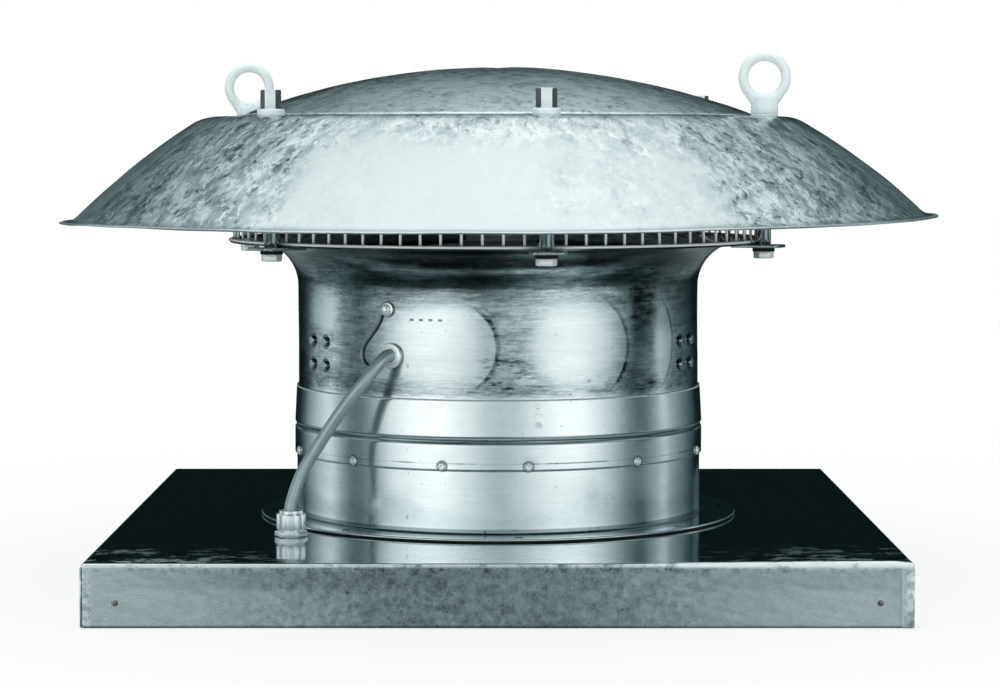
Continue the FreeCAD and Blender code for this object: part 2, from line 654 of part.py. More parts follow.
blade = Part.makeLoft([blade_section(*row) for row in BLADE_SECTIONS], True, False)
blade = largest(blade.common(tube(TIP_R, HUB_R, 140, 226)))
save("impeller_hub", impeller_hub())
save("impeller_blades", [turned(blade, 360.0 / BLADES * k) for k in range(BLADES)])
save("hub_washer", tube(16.0, 3.3, 157.0, 160.0))
save("hub_bolt", hex_bolt(22.0, 4.5, Vector(0, 0, 157.0)))

# ---------------------------------------------------------------- hood supports
LUG_T, LUG_W = 3.0, 40.0
LUG_Z1 = TOP_FLANGE_Z - SHEET        # the lugs are under the flange
LUG_Z0 = LUG_Z1 - LUG_T
ISOLATOR_T = 4.2
BOLT_HEAD_H = 7.5
BOLT_SEAT = LUG_Z0 - ISOLATOR_T
HOOD_HEX = 19                        # across flats of the bolt heads and nuts
PLAIN_BOLT_END, EYE_BOLT_END = 531.0, 521.0
PLAIN_WASHER_H, EYE_WASHER_H = 6.5, 3.0
SHELF_UNDER = SHELF_Z - HOOD_T
post_spots = circle(POST_AZ, POST_CIRCLE, 0)
# (post position, bolt end height, sealing washer height) per post
post_stacks = [
    (spot, EYE_BOLT_END, EYE_WASHER_H) if k in EYE_Z else (spot, PLAIN_BOLT_END, PLAIN_WASHER_H)
    for k, spot in enumerate(post_spots)]


def hood_lug(azimuth, spot):
    lug = box(-LUG_W / 2, -328.0, LUG_Z0, LUG_W / 2, -276.0, LUG_Z1)
    lug = lug.makeFillet(9.0, edges_where(
        lug, lambda b: abs(b.ZLength - LUG_T) < 1e-6 and b.YMin < -320))
    return turned(lug, azimuth).cut(cylinder(6.5, 10, at(spot, LUG_Z0 - 3)))


def hood_bolt(spot, end):
    return fuse(cylinder(BOLT_R, end - 1.0 - BOLT_SEAT, at(spot, BOLT_SEAT)),
                Part.makeCone(BOLT_R, BOLT_R - 1.0, 1.0, at(spot, end - 1.0)),
                nut_hexagon(HOOD_HEX, BOLT_HEAD_H, at(spot, BOLT_SEAT - BOLT_HEAD_H),
                            top=False, bottom=True))


def sealing_washer(spot, height):
    top = SHELF_Z + height
    washer = tube(14.5, 6.0, SHELF_Z, top, spot)
    return washer.makeFillet(1.2, [e for e in level_edges(washer, top) if e.Length > 60])


def hood_nut(spot):
    z = SHELF_Z + PLAIN_WASHER_H
    nut = nut_hexagon(HOOD_HEX, 20.4, at(spot, z), top=True, bottom=True)
    return nut.cut(cylinder(BOLT_R, 60, at(spot, z - 10)))


def eye_nut(post):
    spot, eye_z = post_spots[post], EYE_Z[post]
    foot_z = SHELF_Z + EYE_WASHER_H
    neck_z = foot_z + 7.0
    top = eye_z - EYE_R + 2.0
    back = Vector(0, 1, 0)
    collar = cylinder(14.6, 7.0, at(spot, foot_z))
    neck = Part.makeCone(14.6, 13.0, top - neck_z, at(spot, neck_z))
    eye = Part.makeTorus(EYE_R, EYE_WIRE, at(spot, eye_z), back)
    # cheeks run up from the neck into the ring
    cheeks = []
    for side in (-1, 1):
        start = Vector(spot.x + side * 10.5, spot.y, top - 5.0)
        way = Vector(spot.x + side * 18.5, spot.y, eye_z - 14.0) - start
        cheeks.append(Part.makeCone(5.0, 4.9, way.Length, start, way))
    hole = cylinder(EYE_R - EYE_WIRE + 0.02, 60, Vector(spot.x, spot.y - 30, eye_z), back)
    body = largest(fuse(collar, neck, *cheeks).cut(hole))
    bore = cylinder(BOLT_R, EYE_BOLT_END - foot_z + 1.0, at(spot, foot_z - 1.0))
    return fuse(body, eye).cut(bore)


save("hood_lugs", [hood_lug(azimuth, spot) for azimuth, spot in zip(POST_AZ, post_spots)])
save("hood_bolts", [hood_bolt(spot, end) for spot, end, _ in post_stacks])
save("isolation_washers", [tube(12.0, 6.0, BOLT_SEAT, LUG_Z0, spot) for spot in post_spots])
save("spacer_tubes", [tube(8.0, 6.3, LUG_Z1, SHELF_UNDER, spot) for spot in post_spots])
save("sealing_washers", [sealing_washer(spot, height) for spot, _, height in post_stacks])
save("hood_nuts", [hood_nut(spot) for k, spot in enumerate(post_spots) if k not in EYE_Z])
save("eye_nut_right", eye_nut(1))
save("eye_nut_left", eye_nut(4))


# ---------------------------------------------------------------- hood
def hood_shroud():
    """Flat shelf, spherical skirt and turned-out lip."""
    def outside(r):
        return (r, sphere_z(r, HOOD_SPH_R, HOOD_SPH_Z))

    def inside(r):
        return (r, sphere_z(r, HOOD_SPH_R - HOOD_T, HOOD_SPH_Z))

    shroud = revolve(
        (SHELF_RI, SHELF_UNDER), (SHELF_RI, SHELF_Z), (322.5, SHELF_Z),
        bulge_arc((322.5, SHELF_Z), outside(335.0), 0.92),
        (*outside(402.0), *outside(467.0)),
        bulge_arc(outside(467.0), (476.0, LIP_Z1), -0.95),
        (LIP_R - 1.7, LIP_Z1), (LIP_R, (LIP_Z0 + LIP_Z1) / 2, LIP_R - 1.7, LIP_Z0),
        (473.2, LIP_Z0),
        bulge_arc((473.2, LIP_Z0), inside(465.6), 0.75),
        (*inside(401.0), *inside(334.0)),
        bulge_arc(inside(334.0), (322.0, SHELF_UNDER), -0.82))
    return shroud.cut(join(cylinders(6.2, 30, circle(POST_AZ, POST_CIRCLE, SHELF_Z - 15))))


def hood_crown():
    """Spherical cap standing on the shelf."""
    centre_z = CROWN_TOP - CROWN_SPH_R
    inner_r = CROWN_SPH_R - HOOD_T
    foot_r = math.sqrt(inner_r ** 2 - (SHELF_Z - centre_z) ** 2)   # underside meets the shelf
    return revolve(
        (0, CROWN_TOP),
        (143.0, sphere_z(143.0, CROWN_SPH_R, centre_z),
         CROWN_EDGE_R, sphere_z(CROWN_EDGE_R, CROWN_SPH_R, centre_z)),
        (CROWN_EDGE_R, SHELF_Z), (foot_r, SHELF_Z),
        (foot_r / 2, sphere_z(foot_r / 2, inner_r, centre_z), 0, CROWN_TOP - HOOD_T))


save("hood_shroud", hood_shroud())
save("hood_crown", hood_crown())

# ---------------------------------------------------------------- guard
GUARD_H = SHELF_UNDER - TOP_FLANGE_Z
wire_azimuths = [360.0 / GUARD_WIRES * k + GUARD_WIRE_AZ0 for k in range(GUARD_WIRES)]
ring_pitch = (GUARD_H - 2 * WIRE_R) / (GUARD_RINGS - 1.0)
# the upright wires touch the rings from inside
save("guard_wires", cylinders(
    WIRE_R, GUARD_H, circle(wire_azimuths, GUARD_R - 2 * WIRE_R, TOP_FLANGE_Z)))
save("guard_rings", [
    Part.makeTorus(GUARD_R, WIRE_R, Vector(0, 0, TOP_FLANGE_Z + WIRE_R + ring_pitch * k), UP)
    for k in range(GUARD_RINGS)])

# ---------------------------------------------------------------- cable, grommet and gland
ENTRY_OUT = radial(ENTRY_AZ)
# points of the loose cable between the casing wall and the gland
CABLE_SLACK = [Vector(-140.0, -212, 227), Vector(-166.5, -206, 193),
               Vector(-191, -203, 156), Vector(-207.5, -204.5, 128)]


def spline(points, start_tangent, end_tangent):
    curve = Part.BSplineCurve()
    curve.interpolate(Points=points, InitialTangent=start_tangent, FinalTangent=end_tangent)
    return curve.toShape()


def power_cable():
    """From inside the terminal box, out through the casing and down through the gland."""
    bend = polar(ENTRY_AZ, 104.0, 289.0)
    start = at(bend, 296.0)
    wall_in = polar(ENTRY_AZ, 205.0, ENTRY_Z)
    wall_out = polar(ENTRY_AZ, 236.0, ENTRY_Z)
    gland_top = at(GLAND, 97.0)
    path = Part.Wire([
        Part.makeLine(start, bend),
        spline([bend, wall_in], Vector(0, 0, -70), ENTRY_OUT * 110),
        Part.makeLine(wall_in, wall_out),
        spline([wall_out] + CABLE_SLACK + [gland_top], ENTRY_OUT * 30, Vector(0, 0, -45)),
        Part.makeLine(gland_top, at(GLAND, 54.7))])
    profile = Part.Wire([Part.makeCircle(CABLE_R, start, UP)])
    return path.makePipeShell([profile], True, True)


def cable_grommet():
    """Sleeve through the casing wall with a flange on each side of it."""
    def stub(radius, length, r):
        return cylinder(radius, length, polar(ENTRY_AZ, r, ENTRY_Z), ENTRY_OUT)

    low = Vector(0, 0, ENTRY_Z - 40)
    sleeve = stub(8.9, 12.0, CASING_RO - 6.0)
    outside = stub(13.0, 5.0, CASING_RO - 0.5).cut(cylinder(CASING_RO, 80, low))
    inside = stub(12.0, 4.0, CASING_RI - 4.0).common(cylinder(CASING_RI, 80, low))
    bore = stub(CABLE_R + 0.05, 40, CASING_RO - 20)
    return largest(fuse(sleeve, outside, inside).cut(bore))


def gland_body():
    body = fuse(nut_hexagon(30, 6.0, at(GLAND, BASE_H)),
                cylinder(13.2, 9.0, at(GLAND, BASE_H + 6.0)),
                cylinder(12.4, 9.2, at(GLAND, BASE_H - 9.2)))
    return body.cut(cylinder(8.2, 60, at(GLAND, BASE_H - 20)))


def gland_nut():
    """Round cap nut with ten grip flutes."""
    nut = cylinder(15.6, 17.0, at(GLAND, BASE_H + 7.0))
    nut = nut.makeChamfer(1.3, edges_where(nut, lambda b: b.ZLength < 1e-6))
    nut = nut.cut(cylinder(13.3, 8.2, at(GLAND, BASE_H + 6.9)))
    nut = nut.fuse(cylinder(12.5, 3.0, at(GLAND, BASE_H + 24.0)))
    flute_azimuths = [18 + 36 * k for k in range(10)]
    flutes = [cylinder(2.3, 40, GLAND + spot) for spot in circle(flute_azimuths, 16.3, BASE_H)]
    nut = nut.cut(join(flutes)).cut(cylinder(9.6, 60, at(GLAND, BASE_H)))
    return nut.removeSplitter()


def gland_locknut():
    nut = nut_hexagon(32, 5.0, at(GLAND, DECK_UNDER - 5.0), 4, top=False, bottom=True)
    return nut.cut(cylinder(12.45, 30, at(GLAND, BASE_H - 20)))


save("power_cable", power_cable())
save("cable_grommet", cable_grommet())
save("gland_body", gland_body())
save("gland_nut", gland_nut())
save("gland_seal", tube(9.5, CABLE_R + 0.02, BASE_H + 15.1, BASE_H + 26.4, GLAND))
save("gland_locknut", gland_locknut())

# ---------------------------------------------------------------- earth screw and lead
LEAD_R = 1.6
# azimuth, distance off the casing wall, height
LEAD_PATH = [
    (EARTH_AZ - 1.95, 2.4, EARTH_Z - 6.2), (-34.4, 2.4, 285.5), (-37.6, 2.4, 270),
    (-39.8, 2.4, 256), (-39.2, 2.4, 245), (-36.3, 2.4, 239), (-33.4, 3.6, 240.8),
]


def make_earth_screw():
    """Slotted screw with its washer, the washer trimmed to the casing wall."""
    def out_from_wall(distance):
        return polar(EARTH_AZ, CASING_RO + distance, EARTH_Z)

    out = radial(EARTH_AZ)
    washer = cylinder(7.2, 3.2, out_from_wall(-1.0), out)
    washer = largest(washer.cut(cylinder(CASING_RO, 80, Vector(0, 0, EARTH_Z - 40))))
    head = round_head(5.0, 3.6, out_from_wall(2.2), out, fillet=1.5)
    slot = Part.makeBox(12, 1.4, 1.6, Vector(-6, -0.7, 0))
    slot.Placement = FreeCAD.Placement(out_from_wall(4.6), FreeCAD.Rotation(UP, out))
    return fuse(washer, head, cylinder(3.0, 20.0, out_from_wall(-12.0), out)).cut(slot)


def earth_lead(screw):
    curve = Part.BSplineCurve()
    curve.interpolate([polar(a, CASING_RO + off, z) for a, off, z in LEAD_PATH])
    start = curve.FirstParameter
    rim = Part.makeCircle(LEAD_R, curve.value(start), curve.tangent(start)[0])
    lead = Part.Wire([curve.toShape()]).makePipeShell([Part.Wire([rim])], True, True)
    return largest(lead.cut(screw))


earth_screw = make_earth_screw()
save("earth_screw", earth_screw)
save("earth_lead", earth_lead(earth_screw))
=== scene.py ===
"""Roof exhaust fan: sheet-metal hood, casing and base pan modelled around the CAD parts.

The fan stands on z = 0 with its axis along Z; -Y is the front and +X the right.  Materials, floor
and camera are in metres; the sheet and cable shapes are in millimetres and are scaled by MM.
Angles round the axis are in degrees (or radians in arrays), from -Y towards +X.
"""
import bpy
import bmesh
import math
import numpy as np
from functools import reduce
from mathutils import Matrix, Vector


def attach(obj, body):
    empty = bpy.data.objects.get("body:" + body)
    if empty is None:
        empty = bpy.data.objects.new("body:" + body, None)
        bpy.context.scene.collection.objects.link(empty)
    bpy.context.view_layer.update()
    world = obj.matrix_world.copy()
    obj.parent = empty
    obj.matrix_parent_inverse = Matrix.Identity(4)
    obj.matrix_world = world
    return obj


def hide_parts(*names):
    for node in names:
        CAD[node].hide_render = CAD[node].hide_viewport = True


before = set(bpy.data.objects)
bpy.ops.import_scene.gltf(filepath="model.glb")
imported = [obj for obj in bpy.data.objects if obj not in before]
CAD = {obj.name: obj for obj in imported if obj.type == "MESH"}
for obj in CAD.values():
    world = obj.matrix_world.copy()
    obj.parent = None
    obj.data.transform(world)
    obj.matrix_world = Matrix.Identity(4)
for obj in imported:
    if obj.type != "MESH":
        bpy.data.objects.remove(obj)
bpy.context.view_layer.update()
SCENE = bpy.context.scene
MM = 0.001
ROOT = "fan_frame"

# angles of the motor support arms and of the casing rivets
ARM_ANGLES = (-59.9, 66.0, -177.0)
RIVET_ANGLES = (-42.7, -15.0, 8.1, 40.7, 74.0, 104.0, 134.0, 164.0, -166.0, -136.0, -104.0, -74.0)


# ------------------------------------------------------------------ shader graph helpers
def operator(kind):
    """The plain and the reflected method for one arithmetic operator."""
    return (lambda self, other: self.graph.math(kind, self, other),
            lambda self, other: self.graph.math(kind, other, self))


class Value:
    """A node output; arithmetic on it adds nodes to its graph."""
    __add__, __radd__ = operator("ADD")
    __sub__, __rsub__ = operator("SUBTRACT")
    __mul__, __rmul__ = operator("MULTIPLY")
    __truediv__, __rtruediv__ = operator("DIVIDE")

    def __init__(self, graph, socket):
        self.graph = graph
        self.socket = socket

    def __abs__(self):
        return self.math("ABSOLUTE")

    def math(self, kind, other=0.0):
        return self.graph.math(kind, self, other)

    def max(self, other):
        return self.math("MAXIMUM", other)

    def min(self, other):
        return self.math("MINIMUM", other)

    def limit(self, low, high):
        return self.min(high).max(low)

    def swing(self, amount):
        """A 0..1 value turned into a change of half the amount either way."""
        return (self - 0.5) * amount

    def step(self, start, end, low=0.0, high=1.0):
        """Smooth step from low at start to high at end; start may be above end."""
        return self.graph.node("ShaderNodeMapRange", {
            "Value": self, "From Min": start, "From Max": end, "To Min": low, "To Max": high},
            interpolation_type="SMOOTHSTEP")

    def band(self, rise, fall):
        """1 between two steps, each given as (start, end)."""
        return self.step(*rise) * self.step(*fall)

    def mix(self, at_zero, at_one):
        """Blend of two values, with this one as the factor."""
        return self.graph.node("ShaderNodeMix", {0: self, 2: at_zero, 3: at_one},
                               data_type="FLOAT")

    def fade(self, mask, gain):
        """Multiplied by gain where the mask is 1."""
        return self * mask.mix(1.0, gain)

    def ramp(self, stops):
        """Grey colour ramp through (position, level) stops."""
        node = self.graph.add("ShaderNodeValToRGB", {0: self})
        elements = node.color_ramp.elements
        while len(elements) < len(stops):
            elements.new(0.5)
        for element, (position, level) in zip(elements, stops):
            element.position = position
            element.color = (level, level, level, 1)
        return Value(self.graph, node.outputs[0])

    def xyz(self):
        node = self.graph.add("ShaderNodeSeparateXYZ", {0: self})
        return [Value(self.graph, socket) for socket in node.outputs]

    def length(self):
        return self.graph.vector("LENGTH", self)

    def shift(self, offset):
        return self.graph.vector("ADD", self, offset)

    def stretch(self, x, y, z):
        return self.graph.vector("MULTIPLY", self, (x, y, z))

    def warp(self, scale, amount):
        """The point pushed about by colour noise."""
        noise = self.graph.node("ShaderNodeTexNoise",
                                {"Scale": scale, "Detail": 2.0, "Vector": self}, output=1)
        return self.shift(self.graph.vector("SCALE", noise, amount))

    def noise(self, scale, detail=3.0, rough=0.5):
        return self.graph.node("ShaderNodeTexNoise", {
            "Scale": scale, "Detail": detail, "Roughness": rough, "Vector": self})

    def cells(self, scale):
        """Two random values per crystal and the distance to its centre."""
        node = self.graph.add("ShaderNodeTexVoronoi", {"Scale": scale, "Vector": self})
        first, second, _ = Value(self.graph, node.outputs["Color"]).xyz()
        return first, second, Value(self.graph, node.outputs["Distance"])

    def bump(self, strength, distance):
        return self.graph.node("ShaderNodeBump", {
            "Strength": strength, "Distance": distance, "Height": self})


class Graph:
    """Builds one node tree from nothing."""

    def __init__(self, tree):
        self.tree = tree
        tree.nodes.clear()

    def add(self, kind, inputs=None, **settings):
        node = self.tree.nodes.new(kind)
        offset = 40 * len(self.tree.nodes)
        node.location = (offset, -offset * 0.3)
        for key, value in settings.items():
            setattr(node, key, value)
        for key, value in (inputs or {}).items():
            self.put(node.inputs[key], value)
        return node

    def node(self, kind, inputs=None, output=0, **settings):
        return Value(self, self.add(kind, inputs, **settings).outputs[output])

    def put(self, socket, value):
        if isinstance(value, Value):
            self.tree.links.new(value.socket, socket)
        elif isinstance(value, tuple) and len(value) == 3 and socket.type == "RGBA":
            socket.default_value = (*value, 1.0)
        else:
            socket.default_value = value

    def math(self, kind, first, second=0.0, clamp=False):
        return self.node("ShaderNodeMath", {0: first, 1: second, 2: 0.0},
                         operation=kind, use_clamp=clamp)

    def vector(self, kind, first, second=(0, 0, 0)):
        return self.node("ShaderNodeVectorMath",
                         {0: first, "Scale" if kind == "SCALE" else 1: second},
                         output=1 if kind == "LENGTH" else 0, operation=kind)

    def color(self, red, green, blue):
        return self.node("ShaderNodeCombineColor", {0: red, 1: green, 2: blue})

    def object_point(self):
        return self.node("ShaderNodeTexCoord", output="Object")

    def sheet_point(self):
        """Point on a cylinder, with the length along the sheet's profile as z, in metres."""
        return self.node("ShaderNodeAttribute", output="Vector", attribute_name="tc")

    def face_normal(self):
        return self.node("ShaderNodeNewGeometry", output="True Normal")

    def surface(self, color, metallic, roughness, normal):
        shader = self.node("ShaderNodeBsdfPrincipled", {
            "Base Color": color, "Metallic": metallic, "Roughness": roughness, "Normal": normal})
        self.add("ShaderNodeOutputMaterial", {0: shader})


def new_material(name):
    material = bpy.data.materials.new(name)
    material.use_nodes = True
    return material, Graph(material.node_tree)


def cool(tone):
    """Grey tone to a cool tint: darks lean to blue green, brights are near neutral."""
    return tone.graph.color(tone * tone.mix(0.74, 0.95), tone * tone.mix(0.965, 0.995), tone)


def bearing(x, y):
    """Angle round the axis, in degrees from -Y towards +X."""
    return x.math("ARCTAN2", y * -1.0) * (180 / math.pi)


def hypotenuse(across, up):
    return (across * across + up * up).math("SQRT")


def skin_distance(angle, z, centre_angle, centre_z, radius):
    """Distance on a cylinder from a centre."""
    return hypotenuse((angle - centre_angle) * (radius * math.pi / 180), z - centre_z)


# ------------------------------------------------------------------ sheet materials
def hood_material(name, hem=None):
    """Spun galvanised sheet with small crystals.

    The shroud's front is painted pale and smooth, a painted highlight; the shroud has crystals
    drawn out along the meridians, strongest at the sides, and a painted highlight on the hem
    between two lengths along its profile.  Without a hem it is the crown, even all round.
    """
    crown = hem is None
    material, graph = new_material(name)
    point = graph.object_point()
    x, y, z = point.xyz()
    angle = abs(bearing(x, y))
    if crown:
        sheet = point
        side = graph.math("ADD", 0.80, 0.0)
    else:
        sheet = graph.sheet_point()
        wobble = sheet.stretch(1, 1, 0.6).noise(scale=9, detail=4, rough=0.6)
        highlight_break = z.step(0.462, 0.502) * wobble.step(0.25, 0.55)     # under the shelf corner the painted highlight breaks up
        # side is 0 across the front, which is painted pale and smooth as a painted highlight, and
        # 1 away from it
        side = (angle + wobble.swing(60)).step(10, 46).max(highlight_break * 0.60)
    # strength of the crystals, tone and bump away from the front, and their gain at the limbs
    side_crystals, side_tone, side_bump = (0.85, 0.93, 0.30) if crown else (1.0, 0.60, 0.60)
    limb_crystals, limb_bump = (1.0, 1.0) if crown else (0.45, 0.4)
    limb = angle.step(60, 78)                   # the very sides are smoother

    warped = sheet.warp(scale=36, amount=0.012)
    drawn = warped.stretch(1, 1, 0.74)
    broad = sheet.stretch(1, 1, 0.6).noise(scale=6, detail=3)
    cell_tone, _, cell_distance = drawn.cells(scale=95)
    _, small_cell_tone, _ = drawn.cells(scale=210)
    blotch = drawn.noise(scale=58, detail=4, rough=0.66)
    patch = warped.stretch(1, 1, 0.66).noise(scale=24, detail=4, rough=0.62).step(0.38, 0.62)
    fine = sheet.noise(scale=560, detail=3, rough=0.6)
    grain = sheet.noise(scale=1700, detail=1)
    dark_spots = drawn.noise(scale=112, detail=2, rough=0.6).step(0.575, 0.64)
    pale_spots = drawn.shift((0.7, 0.3, 0.2)).noise(scale=100, detail=2, rough=0.6)
    pale_spots = pale_spots.step(0.585, 0.65)

    crystals = cell_tone.swing(0.14) + small_cell_tone.swing(0.12)
    crystals += blotch.step(0.41, 0.58).swing(0.40)
    crystals += patch.swing(0.30)
    crystals = crystals - dark_spots * 0.40 + pale_spots * 0.36
    strength = side.mix(0.028, side_crystals) * limb.mix(1.0, limb_crystals)

    tone = side.mix(0.77, side_tone) + crystals * strength
    tone += broad.swing(side.mix(0.06, 0.28))
    tone += fine.swing(side.mix(0.03, 0.20))
    if not crown:
        tone += limb * x.step(0.28, 0.38) * 0.17            # the right limb is painted paler, a painted highlight
    rough = (0.17 if crown else 0.20) + crystals * strength * 0.10
    rough = rough + (1.0 - side) * 0.12 - limb * 0.05

    inside_shade = graph.face_normal().xyz()[2].step(-0.02, -0.20)     # the inside is painted dark as shade, and made rougher
    if not crown:
        along = sheet.xyz()[2]
        soft = 0.0006
        # a painted highlight on the hem
        hem_highlight = along.band((hem[0] - soft, hem[0]), (hem[1] + soft, hem[1]))
        tone = hem_highlight.mix(tone, 0.88 + fine.swing(0.2))
        rough = hem_highlight.mix(rough, 0.26)
        inside_shade *= 1.0 - hem_highlight
    tone = tone.fade(inside_shade, 0.42).limit(0.08, 0.95)
    rough = (rough + inside_shade * 0.16).max(0.10)

    height = blotch + (fine * 0.14 + grain * 0.05)
    height += cell_distance * 0.40 + pale_spots.swing(0.25)
    strength = side.mix(0.045, side_bump) * limb.mix(1.0, limb_bump)
    graph.surface(cool(tone), 0.96, rough, height.bump(strength, distance=0.001))
    return material


def outlet_tone(tone, sheet, x, y, z, angle, rings, broad, medium):
    """Scuffs, roll streaks, lens-shaped painted reflections and painted shade of the outlet
    casing.
    """
    skin_radius = 0.2236
    fine_rings = sheet.stretch(1, 1, 9).noise(scale=62, detail=3, rough=0.6)
    flare = (z + broad.swing(0.030)).step(0.290, 0.342)
    above_lap = z.step(0.2095, 0.2160)
    front = y.step(-0.02, -0.06)
    back = 1.0 - front

    def lens(centre_x, centre_z, half_width, half_height):
        """Offsets from a lens's centre, its edge distance (1 at the rim) and a ragged mask."""
        across = (x - centre_x) / half_width
        up = (z - centre_z) / half_height
        reach = hypotenuse(across, up)
        return across, up, reach, (reach + medium.swing(0.45)).step(1.03, 0.55) * front

    def patch_and_rim(across, up, reach, ragged):
        """Painted reflection: a lens with a crisp right-hand edge, and the painted dark line
        outside that edge.
        """
        reach += medium.swing(0.07)
        right = across.step(0.0, 0.5)
        crisp = reach.step(1.012, 0.985)
        tips = abs(up).step(0.92, 0.55)
        patch = right.mix(ragged, crisp) * front * right.mix(1.0, tips)
        rim = right * front * tips * reach.band((0.985, 1.010), (1.10, 1.03))
        return patch, rim

    # painted reflections: inside the glow lenses and the patches the streaks and the painted
    # shade are weaker
    # lenses: centre x and z, half width, half height
    glow_lenses = ((-0.0620, 0.262, 0.0600, 0.0620), (0.0800, 0.268, 0.0540, 0.0620),
                   (0.1780, 0.262, 0.0130, 0.0560), (-0.1880, 0.300, 0.0210, 0.0300))
    patch_lenses = ((-0.0730, 0.262, 0.0710, 0.0560), (0.0830, 0.262, 0.0530, 0.0590),
                    (0.1610, 0.262, 0.0260, 0.0540))
    glow = reduce(Value.max, [lens(*row)[3] for row in glow_lenses])
    glow = glow.max(back * broad.step(0.45, 0.62))
    patches, rims = zip(*[patch_and_rim(*lens(*row)) for row in patch_lenses])
    patches = reduce(Value.max, patches)
    rims = reduce(Value.max, rims)

    streaks = rings.swing(1.30) + fine_rings.swing(0.75)
    streaks += sheet.stretch(1, 1, 2.6).noise(scale=34, detail=4, rough=0.62).swing(1.50)
    speckle = sheet.stretch(1, 1, 1.5).noise(scale=210, detail=3, rough=0.65)
    streaks += medium.swing(0.90) + speckle.swing(0.60)
    calm = patches.mix(1.0, 0.52) * glow.mix(1.0, 0.16)

    # painted shade: the flare is painted darker, and so is the wall above the lap, least in the
    # painted reflections
    tone = flare.mix(tone, 0.30)
    tone -= above_lap * calm * flare.mix(0.25, 0.04)
    # painted dark band between the two right-hand painted reflections, deeper towards the flare
    gap = abs(x + medium.swing(0.008) - 0.1540).step(0.0180, 0.0070) * front
    gap *= above_lap * z.step(0.350, 0.320)
    tone = tone.fade(gap, z.step(0.250, 0.300, 0.58, 0.16))
    tone += streaks * (above_lap * calm * flare.mix(0.62, 0.36))

    # the flare: a painted highlight right of the middle, painted shade to the right and to the
    # left
    flare_highlight = x.band((-0.015, 0.030), (0.140, 0.085)) * (z.step(0.316, 0.334) * front)
    tone = tone.fade(flare_highlight, 1.75)
    for start, end, gain in ((0.070, 0.100, 0.24), (-0.005, -0.060, 0.60)):
        tone = tone.fade(x.step(start, end) * front * z.step(0.338, 0.352), gain)
    # painted shade just under the flare
    under_flare = x.band((-0.130, -0.105), (0.010, -0.015)) * (z.step(0.300, 0.318) * front)
    tone = tone.fade(under_flare, 0.66)
    flare_streaks = sheet.stretch(1, 1, 8).noise(scale=46, detail=4, rough=0.70)
    tone *= 1.0 + flare_streaks.swing(2.2) * flare
    # painted shade right of x = 0.164, between z 0.262 and 0.292
    tone = tone.fade(x.step(0.160, 0.168) * z.step(0.262, 0.292) * front, 0.55)
    # painted dark rims outside the painted reflections' crisp edges
    tone -= rims * 0.30
    # painted shade on the left, from -61 degrees round towards the back
    tone *= angle.step(-70, -61, 0.34, 1.0)

    # dirt in a band just above the lap, smudges in the middle
    lap = z.band((0.2086, 0.2105), (0.250, 0.222))
    tone -= lap * fine_rings.step(0.44, 0.58) * (glow.mix(1.0, 0.45) * 0.22)
    smudge = z.band((0.214, 0.222), (0.262, 0.246)) * angle.band((-7, -2), (12, 5))
    smudge *= sheet.stretch(1, 1, 4.5).noise(scale=60, detail=3, rough=0.7).step(0.52, 0.62)
    tone -= smudge * 0.34
    # a row of short dashes
    dashes = abs(z - 0.2915).step(0.0016, 0.0009) * angle.band((-26, -24.5), (-13, -14.5))
    dashes *= (angle * 2.3).math("SINE").step(0.1, 0.4)
    tone -= dashes * 0.55

    # darker round the four bolts of each arm, then round the earth screw and the cable entry
    for arm in ARM_ANGLES:
        across = abs(angle - arm) * (skin_radius * math.pi / 180) - 0.0148
        up = abs(z - 0.250) - 0.01275
        tone *= hypotenuse(across, up).step(0.0072, 0.0092, 0.30, 1.0)
    for centre_angle, centre_z, dark_radius in ((-31.3, 0.3016, 0.0078), (-30.0, 0.2526, 0.0130)):
        distance = skin_distance(angle, z, centre_angle, centre_z, skin_radius)
        tone *= distance.step(dark_radius, dark_radius + 0.0025, 0.40, 1.0)
    return tone, above_lap


def band_finish(tone, rough, sheet, x, y, z, angle, rings, soft_rings, medium):
    """Groove, crease, rivets and flange of the collar and the casing band."""
    tone += rings.swing(0.09)
    # the bottom of the groove is painted dark as shade; a dark crease runs just above the rivets
    groove = abs(z - 0.1650).step(0.0030, 0.0010)
    tone -= groove * soft_rings.step(0.35, 0.65).mix(0.62, 0.28)
    crease = abs(z - 0.1416).step(0.0010, 0.0004)
    tone -= crease * sheet.stretch(1, 1, 0.1).noise(scale=26, detail=2).step(0.48, 0.60).mix(
        0.10, 0.50)
    # painted shadow round each rivet head
    for rivet in RIVET_ANGLES:
        distance = skin_distance(angle, z, rivet, 0.1386, radius=0.2278)
        tone *= distance.step(0.0056, 0.0072, 0.35, 1.0)
    stain = z.band((0.176, 0.184), (0.207, 0.199)) * angle.band((9.4, 10.4), (12.2, 11.2))
    tone -= stain * medium.step(0.44, 0.58) * 0.34
    # the top edge is painted a little lighter, a painted highlight, and made rougher
    top_edge = z.step(0.2068, 0.2076)
    tone += top_edge * 0.05
    rough += top_edge * 0.44
    # the flange is painted bright, a painted reflection; painted shade where the wall meets it
    level = x.graph.node("ShaderNodeCombineXYZ", {0: x, 1: y, 2: 0.0})
    flange = level.length().step(0.2290, 0.2310)
    tone = tone.fade(z.step(0.0735, 0.0715) * (1.0 - flange), 0.45)
    tone = (flange * z.step(0.0720, 0.0700)).mix(tone, 0.90 + medium.swing(0.5))
    rough = (flange * z.step(0.0720, 0.0700)).mix(rough, 0.075)
    return tone, rough


